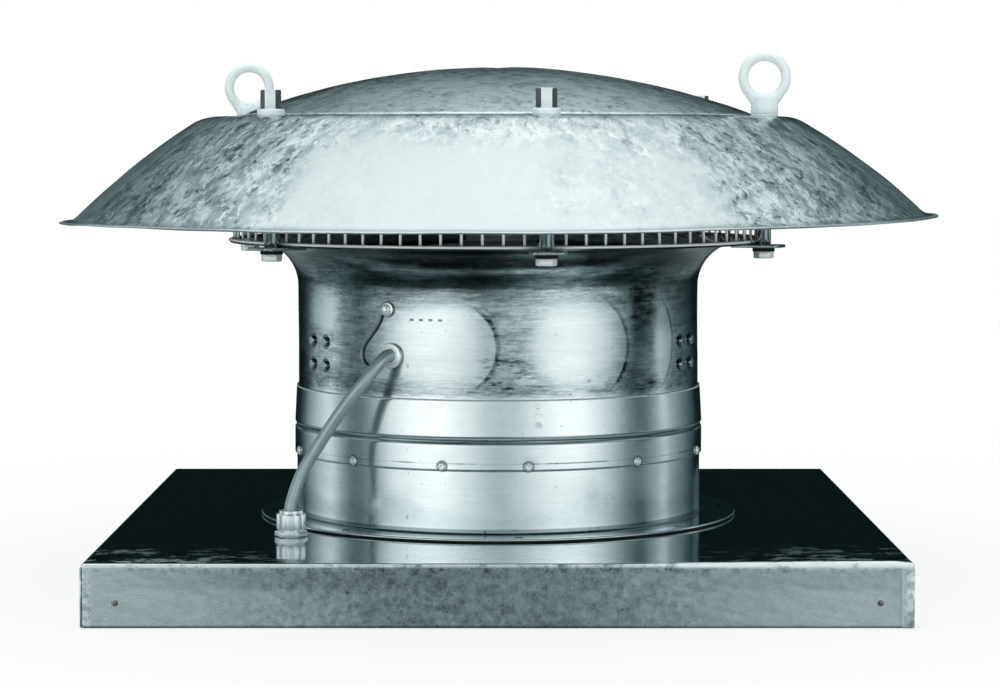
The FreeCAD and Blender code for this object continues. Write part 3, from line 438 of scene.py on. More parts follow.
def casing_material(name, outlet=False):
    """Rolled galvanised sheet of the collar and band, or of the outlet."""
    material, graph = new_material(name)
    sheet = graph.sheet_point()
    x, y, z = graph.object_point().xyz()
    angle = bearing(x, y)
    rings = sheet.stretch(1, 1, 13).noise(scale=24, detail=4, rough=0.66)   # rolling streaks
    soft_rings = sheet.stretch(1, 1, 9).noise(scale=10, detail=2)
    cell_tone, _, _ = sheet.warp(scale=30, amount=0.012).cells(scale=95)
    broad = sheet.noise(scale=7, detail=3)
    medium = sheet.stretch(1, 1, 1.6).noise(scale=70, detail=5, rough=0.70)
    fine = sheet.noise(scale=560, detail=3, rough=0.6)
    tone = 0.79 + cell_tone.swing(0.035) + broad.swing(0.12) + fine.swing(0.08)
    rough = 0.16 + soft_rings.swing(0.12)
    if outlet:
        tone, above_lap = outlet_tone(tone, sheet, x, y, z, angle, rings, broad, medium)
        rough += above_lap * 0.06
        ring_bump, medium_bump = 0.30, 0.10
        metallic = 1.0
    else:
        tone, rough = band_finish(tone, rough, sheet, x, y, z, angle, rings, soft_rings, medium)
        ring_bump, medium_bump = 0.08, 0.03
        metallic = 1.0 - z.step(0.2068, 0.2076) * 0.52
    tone -= sheet.noise(scale=150, detail=1).step(0.75, 0.785) * 0.22       # small dark specks
    rough = (rough + cell_tone.swing(0.03) + fine.swing(0.08)).max(0.09)
    height = rings * ring_bump + (fine * 0.12 + (broad * 0.5 + medium * medium_bump))
    graph.surface(cool(tone.limit(0.03, 0.93)), metallic, rough,
                  height.bump(strength=0.22, distance=0.001))
    return material


def base_material(name):
    """Pressed pan: near mirror on top, scuffed at the front corners, frosty on the skirts."""
    material, graph = new_material(name)
    point = graph.object_point()
    x, y, z = point.xyz()
    top = graph.face_normal().xyz()[2].step(0.80, 0.97)
    cell_tone, _, _ = point.warp(scale=40, amount=0.010).cells(scale=120)
    broad = point.noise(scale=6, detail=3)
    medium = point.noise(scale=75, detail=5, rough=0.7)
    fine = point.noise(scale=420, detail=3, rough=0.65)
    grain = point.noise(scale=1300, detail=1)
    pits = point.noise(scale=260, detail=2, rough=0.6).step(0.64, 0.72)
    edge_noise = point.noise(scale=60, detail=4, rough=0.7)

    # skirts: palest at the ends of a side; frosty in the middle, calmer at the ends
    ends = abs(x).limit(0.0, 1.0).step(0.06, 0.36) * x.step(-0.10, 0.10).mix(0.36, 0.34)
    frost = abs(x + 0.02).step(0.16, 0.30).mix(1.0, 0.26)
    skirt = 0.37 + ends + medium.swing(0.34) * frost
    skirt += fine.swing(0.20) * frost
    skirt += grain.swing(0.08)
    skirt += point.noise(scale=150, detail=3, rough=0.60).swing(0.46) * frost
    skirt = skirt + broad.swing(0.20) + cell_tone.swing(0.05) - pits * frost * 0.17
    skirt += z.step(0.0590, 0.0628) * edge_noise.step(0.36, 0.52) * 0.42        # along the fold
    under_fold = z.band((0.0520, 0.0575), (0.0605, 0.0590))
    under_fold *= point.noise(scale=95, detail=3, rough=0.7).step(0.50, 0.60)
    skirt -= under_fold * 0.20
    corner = abs(x).min(abs(y)).step(0.3985, 0.4035)
    skirt += corner * point.noise(scale=150, detail=3, rough=0.7).step(0.42, 0.60).swing(0.32)

    # top: scuffed near the front corners and along the front edge
    top_tone = 0.55 + medium.swing(0.20) + cell_tone.swing(0.08)
    top_tone += y.step(-0.395, -0.407) * 0.25
    off_centre = abs(x)
    near_corner = y.step(-0.24, -0.36) * off_centre.step(0.17, 0.27)
    near_edge = y.step(-0.385, -0.405) * off_centre.step(0.02, 0.20)
    smear = point.warp(scale=30, amount=0.012).stretch(0.55, 0.9, 1.0)
    smear = smear.noise(scale=62, detail=4, rough=0.66).step(0.47, 0.66)
    lip = y.step(-0.4030, -0.4070) * x.step(0.13, 0.20).mix(0.55, 1.0)
    scuff = near_corner.max(near_edge) * smear
    scuff = scuff.max(lip * point.noise(scale=48, detail=4, rough=0.7).step(0.36, 0.50))
    dust = point.noise(scale=210, detail=2, rough=0.6).step(0.62, 0.74) * 0.35

    tone = top.mix(skirt, top_tone)
    # a painted shadow line just inside the fold, left of x = 0.2
    line = y.band((-0.4040, -0.4052), (-0.4092, -0.4080)) * z.step(0.0615, 0.0630)
    line = line * (1.0 - x.step(0.12, 0.20)) * edge_noise.step(0.30, 0.48)
    tone = tone.fade(line, 0.12).limit(0.08, 0.95)
    skirt_rough = 0.36 + medium.swing(0.22)
    top_rough = (0.065 + (medium - 0.45) * 0.05).max(0.04) + scuff * 0.42 + dust * 0.10
    rough = top.mix(skirt_rough, top_rough).max(0.04)
    height = fine * 0.34 + (medium * 0.5 + grain * 0.14)
    normal = height.bump(top.mix(0.38, 0.035 + scuff * 0.35), distance=0.001)

    # the fold is lighter and less metallic, most of all on the right
    bright_fold_start = x.step(0.10, 0.36).mix(0.0592, 0.0560)
    bright_fold_end = x.step(0.10, 0.36).mix(0.0620, 0.0655)
    bright_fold = z.step(bright_fold_start, bright_fold_end) * x.step(0.12, 0.20).mix(0.20, 1.0)
    bright_fold = y.step(-0.4015, -0.4050) * bright_fold * edge_noise.step(0.26, 0.56)
    tone = bright_fold.mix(tone, 0.93)
    front_scuff = scuff * top * (y.step(-0.350, -0.395) * off_centre.step(0.22, 0.32))
    tone += front_scuff * 0.2
    metallic = 1.0 - (bright_fold * 0.80).max(front_scuff * 0.30)
    graph.surface(cool(tone), metallic, rough, normal)
    return material


# ------------------------------------------------------------------ small-part materials
def streaked(point, streak):
    """The point stretched along z, or as it is when there is no streak."""
    return point.stretch(1, 1, streak) if streak else point


def steel_material(name, level, rough, spread, scale, bump, metallic, streak, painted_dark_facets=False):
    """Plated or machined metal with small tone and gloss changes and fine grain."""
    material, graph = new_material(name)
    point = graph.object_point()
    drawn = streaked(point, streak)
    medium = drawn.noise(scale=scale, detail=4, rough=0.6)
    broad = drawn.noise(scale=scale * 0.12, detail=3)
    fine = point.noise(scale=scale * 7.0, detail=1)
    tone = (level + medium.swing(spread * 1.6) + broad.swing(spread)).limit(0.02, 0.95)
    if painted_dark_facets:                       # faces towards +X and -X are painted dark, a painted dark reflection
        normal_x, _, normal_z = graph.face_normal().xyz()
        tone = tone.fade(abs(normal_x).step(0.55, 0.75) * abs(normal_z).step(0.5, 0.2), 0.10)
    roughness = (rough + medium.swing(rough * 0.7)).max(0.05)
    height = medium * 0.5 + fine * 0.2
    graph.surface(cool(tone), metallic, roughness, height.bump(bump, distance=0.0006))
    return material


def plain_material(name, color, rough, spread, scale, bump, metallic, streak):
    """Rubber, sheath, foam and windings."""
    material, graph = new_material(name)
    point = graph.object_point()
    medium = streaked(point, streak).noise(scale=scale, detail=4, rough=0.6)
    broad = point.noise(scale=scale * 0.1, detail=3)
    gain = 1.0 + (medium + broad - 1.0) * spread
    roughness = (rough + medium.swing(0.25)).max(0.08)
    graph.surface(graph.vector("SCALE", color, gain), metallic, roughness,
                  medium.bump(bump, distance=0.0005))
    return material


# finish: material name, tone, roughness, spread, noise scale, bump, metallic, z streak
STEELS = {
    "zinc": ("zinc_plated", 0.74, 0.24, 0.14, 260, 0.15, 0.97, None),
    "eye": ("forged_zinc", 0.97, 0.34, 0.08, 320, 0.22, 0.10, None),
    "lug": ("lug_sheet", 0.42, 0.28, 0.16, 150, 0.15, 0.97, None),
    "wire": ("galvanised_wire", 0.95, 0.30, 0.10, 400, 0.12, 0.12, None),
    "tube": ("tube_zinc", 0.84, 0.13, 0.16, 240, 0.10, 0.97, 0.1),
    "nickel": ("nickel_plated", 0.95, 0.20, 0.12, 170, 0.10, 0.62, None),
    "bright": ("bright_zinc", 0.95, 0.24, 0.10, 220, 0.15, 0.45, None),
    "nut": ("zinc_painted_dark_facets", 0.95, 0.24, 0.10, 220, 0.15, 0.40, None),
    "bolt": ("aged_zinc", 0.50, 0.24, 0.25, 260, 0.25, 0.97, None),
    "cast": ("cast_aluminium", 0.58, 0.46, 0.12, 420, 0.5, 0.97, None),
    "ground": ("ground_steel", 0.72, 0.12, 0.06, 300, 0.06, 0.97, 12),
    "lamination": ("electrical_steel", 0.30, 0.38, 0.16, 200, 0.3, 0.97, 14),
}
# finish: material name, colour, roughness, spread, noise scale, bump, metallic, z streak
PLAINS = {
    "copper": ("copper_winding", (0.52, 0.20, 0.09), 0.30, 0.5, 300, 0.5, 0.85, 6),
    "rubber": ("black_rubber", (0.004, 0.006, 0.007), 0.85, 0.6, 500, 0.4, 0.0, None),
    "foam": ("foam_seal", (0.035, 0.038, 0.040), 0.9, 0.7, 700, 0.8, 0.0, None),
    "sheath": ("cable_sheath", (0.42, 0.52, 0.545), 0.34, 0.30, 120, 0.10, 0.45, None),
    "lead": ("earth_lead", (0.30, 0.35, 0.36), 0.30, 1.0, 330, 0.5, 0.6, None),
}
FINISH = {
    "crown": hood_material("galvanised_crown"),
    "casing": casing_material("galvanised_casing"),
    "outlet": casing_material("galvanised_outlet", outlet=True),
    "base": base_material("galvanised_base"),
}
for finish, row in STEELS.items():
    FINISH[finish] = steel_material(*row, painted_dark_facets=finish == "nut")
for finish, row in PLAINS.items():
    FINISH[finish] = plain_material(*row)


# ------------------------------------------------------------------ mesh helpers
def paint(piece, material):
    piece.data.materials.clear()
    piece.data.materials.append(material)


def hand_over(piece, material, replaced):
    paint(piece, material)
    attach(piece, ROOT)
    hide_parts(replaced)


def smooth(mesh):
    mesh.polygons.foreach_set("use_smooth", [True] * len(mesh.polygons))


def mesh_object(name, vertices, faces, sheet_points=None, poles=()):
    """Smooth object with outward normals.  Each pole is a slice of vertices merged into one."""
    mesh = bpy.data.meshes.new(name)
    mesh.from_pydata(vertices.tolist(), [], faces)
    if sheet_points is not None:
        attribute = mesh.attributes.new("tc", "FLOAT_VECTOR", "POINT")
        attribute.data.foreach_set("vector", sheet_points.astype(np.float32).ravel())
    build = bmesh.new()
    build.from_mesh(mesh)
    all_vertices = list(build.verts)
    for ring in [all_vertices[pole] for pole in poles]:
        bmesh.ops.pointmerge(build, verts=ring, merge_co=ring[0].co)
    bmesh.ops.recalc_face_normals(build, faces=build.faces)
    build.to_mesh(mesh)
    build.free()
    smooth(mesh)
    piece = bpy.data.objects.new(name, mesh)
    SCENE.collection.objects.link(piece)
    return piece


def grid_faces(rows, columns, row_steps):
    """Quads between neighbouring rows of points; each row is a closed loop."""
    faces = []
    for i in range(row_steps):
        j = (i + 1) % rows
        for k in range(columns):
            m = (k + 1) % columns
            faces.append((i * columns + k, i * columns + m, j * columns + m, j * columns + k))
    return faces


def ring_field(turn, along, waves, rate, count, seed):
    """Smooth random field: about `waves` waves round the circle, `rate` rad/m along."""
    random = np.random.default_rng(seed)
    turns = np.rint(random.normal(0, waves, count))
    rates = random.normal(0, rate, count)
    phases = random.uniform(0, 2 * math.pi, count)
    total = np.zeros(np.broadcast(turn, along).shape)
    for a, b, phase in zip(turns, rates, phases):
        total += np.cos(a * turn + b * along + phase)
    return total * math.sqrt(2.0 / count)


def plane_field(x, y, rate, count, seed):
    """Smooth random field over x and y, `rate` rad/m either way."""
    random = np.random.default_rng(seed)
    total = np.zeros(np.broadcast(x, y).shape)
    for _ in range(count):
        a, b = random.normal(0, rate), random.normal(0, rate)
        total += np.cos(a * x + b * y + random.uniform(0, 2 * math.pi))
    return total * math.sqrt(2.0 / count)


def ease(value):
    return np.clip(value, 0, 1)


def gauss(distance, width):
    return np.exp(-(distance / width) ** 2)


def degrees_from(turn, angle):
    """Signed degrees from an angle round the axis."""
    return (np.degrees(turn) - angle + 180.0) % 360.0 - 180.0


def arc(centre, radius, start, end, count):
    points = []
    for i in range(count + 1):
        a = math.radians(start + (end - start) * i / count)
        points.append((centre[0] + radius * math.cos(a), centre[1] + radius * math.sin(a)))
    return points


def corner_blend(start, control, end, count=8):
    """Quadratic curve from start to end, drawn towards the control point."""
    points = []
    for i in range(count + 1):
        u = i / count
        points.append(tuple((1 - u) ** 2 * a + 2 * u * (1 - u) * b + u * u * c
                            for a, b, c in zip(start, control, end)))
    return points


def segment(start, end, spacing):
    """Evenly spaced points of a straight line, no further apart than the spacing."""
    run, rise = end[0] - start[0], end[1] - start[1]
    count = max(1, int(math.ceil(math.hypot(run, rise) / spacing)))
    return [start] + [(start[0] + run * i / count, start[1] + rise * i / count)
                      for i in range(1, count + 1)]


def sheet_profile(middle, thickness, bead=None, from_pole=False):
    """Closed outline of a sheet about its middle line, one side first, with rounded ends.

    A bead (centre, radius) takes the place of the far end; from_pole leaves the near end square
    on the axis.
    """
    half = thickness / 2
    line = np.array(middle, float)
    along = np.gradient(line, axis=0)
    along /= np.linalg.norm(along, axis=1)[:, None]
    normal = np.stack([-along[:, 1], along[:, 0]], 1)
    if from_pole:
        normal[0] = (0, 1)
    loop = [tuple(point) for point in line + normal * half]
    if bead:
        loop += arc(*bead, 122, -168, 14)
    else:
        a = math.degrees(math.atan2(normal[-1][1], normal[-1][0]))
        loop += arc(line[-1], half, a, a - 180, 4)[1:-1]
    loop += [tuple(point) for point in (line - normal * half)[::-1]]
    if not from_pole:
        a = math.degrees(math.atan2(-normal[0][1], -normal[0][0]))
        loop += arc(line[0], half, a, a - 180, 4)[1:-1]
    return loop


def profile_lengths(profile):
    steps = np.linalg.norm(np.diff(np.array(profile, float), axis=0), axis=1)
    return np.concatenate([[0], np.cumsum(steps)])


def spun_sheet(name, replaced, profile, segments, material, displace, wrap, closed=True):
    """Turns a profile of (r, z) about Z.

    displace(turn, along, r, z) gives the offsets in r and z.  The attribute tc holds a point on a
    cylinder of radius wrap (metres) and the length along the profile.  An open profile starts
    and ends on the axis.
    """
    points = np.array(profile, float)
    count = len(points)
    turns = np.arange(segments) * 2 * math.pi / segments
    turn, along = np.meshgrid(turns, profile_lengths(profile), indexing="ij")
    r = np.broadcast_to(points[:, 0], turn.shape)
    z = np.broadcast_to(points[:, 1], turn.shape)
    r_offset, z_offset = displace(turn, along, r, z)
    r, z = r + r_offset, z + z_offset
    vertices = np.stack([r * np.sin(turn), -r * np.cos(turn), z], -1) * MM
    faces = []
    for i in range(segments):
        a, b = i * count, (i + 1) % segments * count
        for k in range(count if closed else count - 1):
            m = (k + 1) % count
            faces.append((a + k, b + k, b + m, a + m))
    wrapped = np.stack([wrap * np.sin(turn), -wrap * np.cos(turn), along * MM], -1)
    poles = [] if closed else [slice(k, None, count) for k in (0, count - 1)]
    piece = mesh_object(name, vertices.reshape(-1, 3), faces, wrapped.reshape(-1, 3), poles)
    hand_over(piece, material, replaced)


# ------------------------------------------------------------------ hood shroud
HOOD_THICKNESS = 2.0
SHELF_Z = 505.4 - HOOD_THICKNESS / 2        # middle of the flat shelf
SHELL_RADIUS, SHELL_CENTRE = 656.0, -63.3   # middle surface of the shroud's sphere
RIM_Z = 392.3
RIM_BEAD = ((482.9, 391.9), 1.3)            # centre, radius
HALF_HEM = 5.0


def shell_z(r):
    return SHELL_CENTRE + math.sqrt(SHELL_RADIUS * SHELL_RADIUS - r * r)


def hood_displace(turn, along, r, z):
    shell = ease((r - 330) / 60)
    swell = 0.55 * ring_field(turn, along * MM, waves=3.5, rate=6.0, count=24, seed=11) * shell
    # hammered look
    swell += 0.06 * ring_field(turn, along * MM, waves=60, rate=60, count=90, seed=12) * shell
    swell += 0.03 * ring_field(turn, along * MM, waves=120, rate=120, count=90, seed=13) * shell
    edge = ease((r - 440) / 40)
    swell += edge * 0.4 * ring_field(turn, 0 * along, waves=9.0, rate=0.0, count=16, seed=14)
    polar = ease(r / SHELL_RADIUS)
    # the rim is lifted at the sides, more at the right
    lift = 3.35 * np.sqrt(np.sin(turn) ** 2 + 0.02) + 2.25 * np.sin(turn) - np.cos(turn) - 0.4
    lift = lift * ease((r - 330) / 150) ** 2
    # local rises and sags: angle, width in degrees, radii, heights at those radii
    dents = (
        (-97.0, 30.0, [316, 322, 332, 345, 371, 398, 425, 450, 484],
         [0, -1.4, -1.8, -2.0, -2.8, -3.6, -5.0, -4.7, -3.7]),
        (93.0, 24.0, [400, 435, 465, 476, 486], [0, 1.5, 1.5, 0.6, 0.2]),
        (-62.0, 14.0, [400, 470, 486], [0, 0.8, 1.0]),
        (108.0, 14.0, [462, 474, 486], [0, -1.6, -2.0]),
    )
    for angle, width, radii, heights in dents:
        lift += np.interp(r, radii, heights) * gauss(degrees_from(turn, angle), width)
    # the rim is drawn out at the left and the right
    drawn = 2.0 * gauss(degrees_from(turn, -90.0), 26.0)
    drawn += 3.4 * gauss(degrees_from(turn, 90.0), 26.0)
    drawn *= np.interp(r, [470, 486], [0, 1.0])
    return swell * polar + drawn, swell * np.sqrt(1 - polar ** 2) + lift


def hood_shroud():
    middle = [(265.0, SHELF_Z)] + [(r, SHELF_Z) for r in np.linspace(270, 318, 13)]
    middle += corner_blend((319.0, SHELF_Z), (327.5, SHELF_Z), (337.0, shell_z(337.0)))
    middle += [(r, shell_z(r)) for r in np.linspace(340, 466, 40)]
    middle += corner_blend((466.0, shell_z(466.0)), (473.0, RIM_Z), (478.6, RIM_Z))[1:]
    middle += [(480.4, RIM_Z)]
    profile = sheet_profile(middle, HOOD_THICKNESS, bead=RIM_BEAD)
    # the hem lies either side of the widest point
    widest = profile_lengths(profile)[np.argmax([r for r, _ in profile])]
    hem = ((widest - HALF_HEM) * MM, (widest + HALF_HEM) * MM)
    material = hood_material("galvanised_hood", hem)
    spun_sheet("hood_shroud_sheet", "hood_shroud", profile, 720, material, hood_displace,
               wrap=0.40)


hood_shroud()

# ------------------------------------------------------------------ hood crown
CROWN_RADIUS, CROWN_CENTRE = 799.0, -240.0      # middle surface of the cap's sphere
CROWN_EDGE = 285.4
CROWN_THICKNESS = 1.7


def crown_displace(turn, along, r, z):
    inside = ease((285.0 - r) / 40) * ease(r / 20)
    swell = 0.4 * ring_field(turn, along * MM, waves=2.0, rate=9.0, count=16, seed=21) * inside
    swell += 0.07 * plane_field(r * np.sin(turn) * MM, r * np.cos(turn) * MM,
                                rate=90.0, count=60, seed=22) * inside
    return 0 * swell, swell


crown_middle = [(r, CROWN_CENTRE + math.sqrt(CROWN_RADIUS * CROWN_RADIUS - r * r))
                for r in np.linspace(0, CROWN_EDGE, 64)]
spun_sheet("hood_crown_cap", "hood_crown",
           sheet_profile(crown_middle, CROWN_THICKNESS, from_pole=True),
           540, FINISH["crown"], crown_displace, wrap=0.25, closed=False)

# ------------------------------------------------------------------ casing
COLLAR_R, COLLAR_TOP = 224.6, 141.9
COLLAR_BEND = 3.0
FLANGE_R, FLANGE_Z = 264.6, 66.5
BAND_R, BAND_BOTTOM = 226.8, 134.2
BAND_TOP = (224.8, 207.6)                   # drawn in a little
GROOVE_BOTTOM, GROOVE_HEIGHT, GROOVE_DEPTH = 161.0, 8.0, 1.5
OUTLET_R, OUTLET_BOTTOM = 222.6, 196.0
FLARE_BOTTOM, FLARE_BEND = 319.0, 49.0
OUTLET_RIM_R = 297.6


def casing_displace(turn, along, r, z):
    """The roundness errors shared by all three casing sheets."""
    body = ease((300.0 - r) / 30) * ease((362 - z) / 40)
    swell = 0.30 * ring_field(turn, z * MM, waves=4.0, rate=9.0, count=22, seed=31) * body
    swell += 0.05 * ring_field(turn, z * MM, waves=14.0, rate=60.0, count=40, seed=32) * body
    return swell


def arc_from(turn, angle, r):
    return degrees_from(turn, angle) * r * math.pi / 180


def band_displace(turn, along, r, z):
    """Drawn in round the rivets."""
    swell = casing_displace(turn, along, r, z)
    for angle in RIVET_ANGLES:
        swell -= 0.22 * gauss(arc_from(turn, angle, r), 9.0) * gauss(z - 138.6, 8.0)
    return swell, 0 * swell


def outlet_displace(turn, along, r, z):
    """Drawn in round the arms and the cable entry, with waves above the lap."""
    swell = casing_displace(turn, along, r, z)
    for angle in ARM_ANGLES:
        swell -= 0.5 * gauss(arc_from(turn, angle, r), 34.0) * gauss(z - 250.0, 30.0)
    swell -= 0.35 * gauss(arc_from(turn, -30.0, r), 26.0) * gauss(z - 252.6, 24.0)
    waves = ring_field(turn, z * MM, waves=6.0, rate=26.0, count=30, seed=36)
    swell += 0.35 * waves * gauss(z - 270.0, 60.0) * ease((z - 211.0) / 16.0)
    return swell, 0 * swell


def collar_middle():
    """Collar with its turned-out bottom flange."""
    bend_r, bend_z = COLLAR_R + COLLAR_BEND, FLANGE_Z + COLLAR_BEND
    middle = segment((FLANGE_R, FLANGE_Z), (bend_r, FLANGE_Z), 3.0)
    middle += arc((bend_r, bend_z), COLLAR_BEND, 270, 180, 6)[1:]
    return middle + segment((COLLAR_R, bend_z), (COLLAR_R, COLLAR_TOP), 2.4)[1:]


def band_middle():
    """Band with a rolled groove."""
    groove_top = GROOVE_BOTTOM + GROOVE_HEIGHT
    middle = segment((BAND_R, BAND_BOTTOM), (BAND_R, GROOVE_BOTTOM), 2.2)
    for i in range(1, 13):
        u = i / 12
        middle.append((BAND_R - GROOVE_DEPTH * math.sin(math.pi * u) ** 1.2,
                       GROOVE_BOTTOM + GROOVE_HEIGHT * u))
    return middle + segment((BAND_R, groove_top), BAND_TOP, 2.2)[1:]


def outlet_middle():
    """Straight wall that flares out to a level rim, listed from the rim down."""
    bend_r, rim_z = OUTLET_R + FLARE_BEND, FLARE_BOTTOM + FLARE_BEND
    middle = segment((OUTLET_R, OUTLET_BOTTOM), (OUTLET_R, FLARE_BOTTOM), 2.4)
    middle += arc((bend_r, FLARE_BOTTOM), FLARE_BEND, 180, 90, 26)[1:]
    middle += segment((bend_r, rim_z), (OUTLET_RIM_R, rim_z), 3.0)[1:]
    return middle[::-1]


# object, CAD node, middle line, thickness, finish, displacement
for name, replaced, middle, thickness, finish, displace in (
        ("inlet_collar_sheet", "inlet_collar", collar_middle(), 2.0, "casing", band_displace),
        ("casing_band_sheet", "casing_band", band_middle(), 1.9, "casing", band_displace),
        ("outlet_casing_sheet", "outlet_casing", outlet_middle(), 1.9, "outlet",
         outlet_displace)):
    spun_sheet(name, replaced, sheet_profile(middle, thickness), 480, FINISH[finish], displace,
               wrap=0.225)

# ------------------------------------------------------------------ base pan
PAN_HALF, PAN_TOP = 410.0, 64.0
PAN_THICKNESS = 2.0
OPENING_R = 224.6
CORNER_R = 2.2
FOLD_OUTER, FOLD_INNER = 2.2, 0.6               # fold radii
SIDE_POINTS, CORNER_POINTS = 130, 6
SCREW_X, SCREW_Z, SCREW_HOLE_R = 377.0, 25.0, 3.25


def square_loop(half, z, corner):
    """Rounded square, with points closer together towards the corners."""
    u = np.linspace(-1, 1, SIDE_POINTS)
    u = np.sign(u) * np.abs(u) ** 0.82
    straight = half - corner
    side = [(a * straight, -half) for a in u]
    for i in range(1, CORNER_POINTS + 1):
        a = math.radians(90.0 * i / (CORNER_POINTS + 1))
        side.append((straight + corner * math.sin(a), -straight - corner * math.cos(a)))
    points = []
    for quarter in range(4):
        a = math.radians(90 * quarter)
        c, s = math.cos(a), math.sin(a)
        points += [(x * c - y * s, x * s + y * c, z) for x, y in side]
    return np.array(points)


def pan_loops():
    """Loops from the opening over the top, down the skirt, up inside and back underneath."""
    outline = square_loop(PAN_HALF, 0.0, CORNER_R)
    angles = np.arctan2(outline[:, 1], outline[:, 0])

    def circle(r, z):
        return np.stack([r * np.cos(angles), r * np.sin(angles), np.full(len(angles), z)], 1)

    inside = PAN_HALF - PAN_THICKNESS
    underside = PAN_TOP - PAN_THICKNESS
    inner_corner = CORNER_R * 0.5
    loops = [circle(OPENING_R, PAN_TOP - 1.0), circle(OPENING_R + 0.3, PAN_TOP - 0.25),
             circle(OPENING_R + 0.9, PAN_TOP)]
    start = circle(OPENING_R + 2.0, PAN_TOP)
    end = square_loop(PAN_HALF - FOLD_OUTER, PAN_TOP, CORNER_R)
    for f in np.concatenate([np.linspace(0, 0.90, 46), np.linspace(0.915, 1.0, 12)]):
        loops.append(start * (1 - f) + end * f)
    for i in range(1, 7):
        a = math.radians(90.0 * i / 6)
        loops.append(square_loop(PAN_HALF - FOLD_OUTER + FOLD_OUTER * math.sin(a),
                                 PAN_TOP - FOLD_OUTER + FOLD_OUTER * math.cos(a), CORNER_R))
    for z in np.linspace(PAN_TOP - FOLD_OUTER, 0.6, 26)[1:]:
        loops.append(square_loop(PAN_HALF, z, CORNER_R))
    # rounded bottom edge: inset, z, corner radius
    for inset, z, corner in ((0.25, 0.15, CORNER_R), (1.0, 0.0, CORNER_R),
                             (1.75, 0.15, CORNER_R * 0.6), (PAN_THICKNESS, 0.6, inner_corner)):
        loops.append(square_loop(PAN_HALF - inset, z, corner))
    for z in np.linspace(0.6, PAN_TOP - FOLD_OUTER - 0.5, 8)[1:]:
        loops.append(square_loop(inside, z, inner_corner))
    for i in range(1, 5):
        a = math.radians(90.0 * i / 4)
        loops.append(square_loop(inside - FOLD_INNER + FOLD_INNER * math.cos(a),
                                 underside - FOLD_INNER + FOLD_INNER * math.sin(a),
                                 inner_corner))
    start = square_loop(inside - FOLD_INNER, underside, inner_corner)
    end = circle(OPENING_R + 0.9, underside)
    for f in np.linspace(1.0, 0.0, 14)[1:]:
        loops.append(end * (1 - f) + start * f)
    loops.append(circle(OPENING_R + 0.3, PAN_TOP - 1.75))
    return np.array(loops)


def bend_pan(loops):
    """Ripples on the top, a lifted front edge and slightly bowed skirts."""
    x, y, z = loops[..., 0], loops[..., 1], loops[..., 2]
    reach = np.maximum(np.abs(x), np.abs(y))
    near_top = z > PAN_TOP - 8.0
    on_skirt = reach > PAN_HALF - 3.0
    rippled = near_top * ease((np.hypot(x, y) - 272) / 60) * ease((PAN_HALF - reach) / 30)
    ripple = 0.55 * plane_field(x * MM, y * MM, rate=11.0, count=30, seed=41)
    front_corner = gauss(np.abs(x) - 360, 120.0) * gauss(y + 360, 90.0)
    ripple += 0.35 * front_corner * plane_field(x * MM, y * MM, rate=55.0, count=50, seed=42)
    ripple += (0.10 * plane_field(x * MM, y * MM, rate=80.0, count=60, seed=43)
               * ease((reach - 300) / 100))
    # the front edge is lifted at the right
    lift = 2.2 * ease((x - 110) / 220) * ease((-y - 380) / 26) * ease((411 - x) / 18) * near_top
    bow = (0.5 * plane_field(x * MM, y * MM, rate=7.0, count=16, seed=44)
           * ease((PAN_TOP - 6 - z) / 20) * on_skirt)
    bow += 0.03 * plane_field(x * MM + z * MM * 3, y * MM - z * MM * 2,
                              rate=120.0, count=60, seed=45) * on_skirt
    bow = np.abs(bow)
    bow_x = bow * ease((PAN_HALF - np.abs(y)) / 18.0) * (np.abs(x) >= np.abs(y))
    bow_y = bow * ease((PAN_HALF - np.abs(x)) / 18.0) * (np.abs(y) > np.abs(x))
    return np.stack([x - np.sign(x) * bow_x, y - np.sign(y) * bow_y,
                     z + ripple * rippled + lift], -1)


def drill_skirts(pan):
    """Two screw holes in each skirt."""
    mesh = bpy.data.meshes.new("skirt_hole_cutter")
    build = bmesh.new()
    for side in (-1, 1):
        for quarter in range(4):
            place = (Matrix.Rotation(math.radians(90 * quarter), 4, "Z")
                     @ Matrix.Translation((side * SCREW_X * MM, -PAN_HALF * MM, SCREW_Z * MM))
                     @ Matrix.Rotation(math.radians(90), 4, "X"))
            bmesh.ops.create_cone(build, cap_ends=True, segments=32, radius1=SCREW_HOLE_R * MM,
                                  radius2=SCREW_HOLE_R * MM, depth=0.02, matrix=place)
    build.to_mesh(mesh)
    build.free()
    cutter = bpy.data.objects.new("skirt_hole_cutter", mesh)
    SCENE.collection.objects.link(cutter)
    holes = pan.modifiers.new("holes", "BOOLEAN")
    holes.operation = "DIFFERENCE"
    holes.object = cutter
    holes.solver = "EXACT"
    depsgraph = bpy.context.evaluated_depsgraph_get()
    drilled = bpy.data.meshes.new_from_object(pan.evaluated_get(depsgraph))
    pan.modifiers.clear()
    pan.data = drilled
    pan.data.name = "base_pan_sheet"
    bpy.data.objects.remove(cutter)


def base_pan():
    loops = bend_pan(pan_loops()) * MM
    rows, columns = loops.shape[:2]
    pan = mesh_object("base_pan_sheet", loops.reshape(-1, 3), grid_faces(rows, columns, rows))
    drill_skirts(pan)
    smooth(pan.data)
    pan.data.set_sharp_from_angle(angle=math.radians(32))
    hand_over(pan, FINISH["base"], "base_pan")


base_pan()

# ------------------------------------------------------------------ power cable
CABLE_RADIUS = 6.5
CABLE_RING, CABLE_STATIONS = 28, 220
GLAND_X, GLAND_Y = -218.0, -208.0
ENTRY_ANGLE = math.radians(-30)
# inside the casing and through its wall, at the entry angle: radius, z
CABLE_INSIDE = ((104, 296), (104, 288), (113, 270), (140, 257), (175, 253), (205, 252.6),
                (236, 252.6))
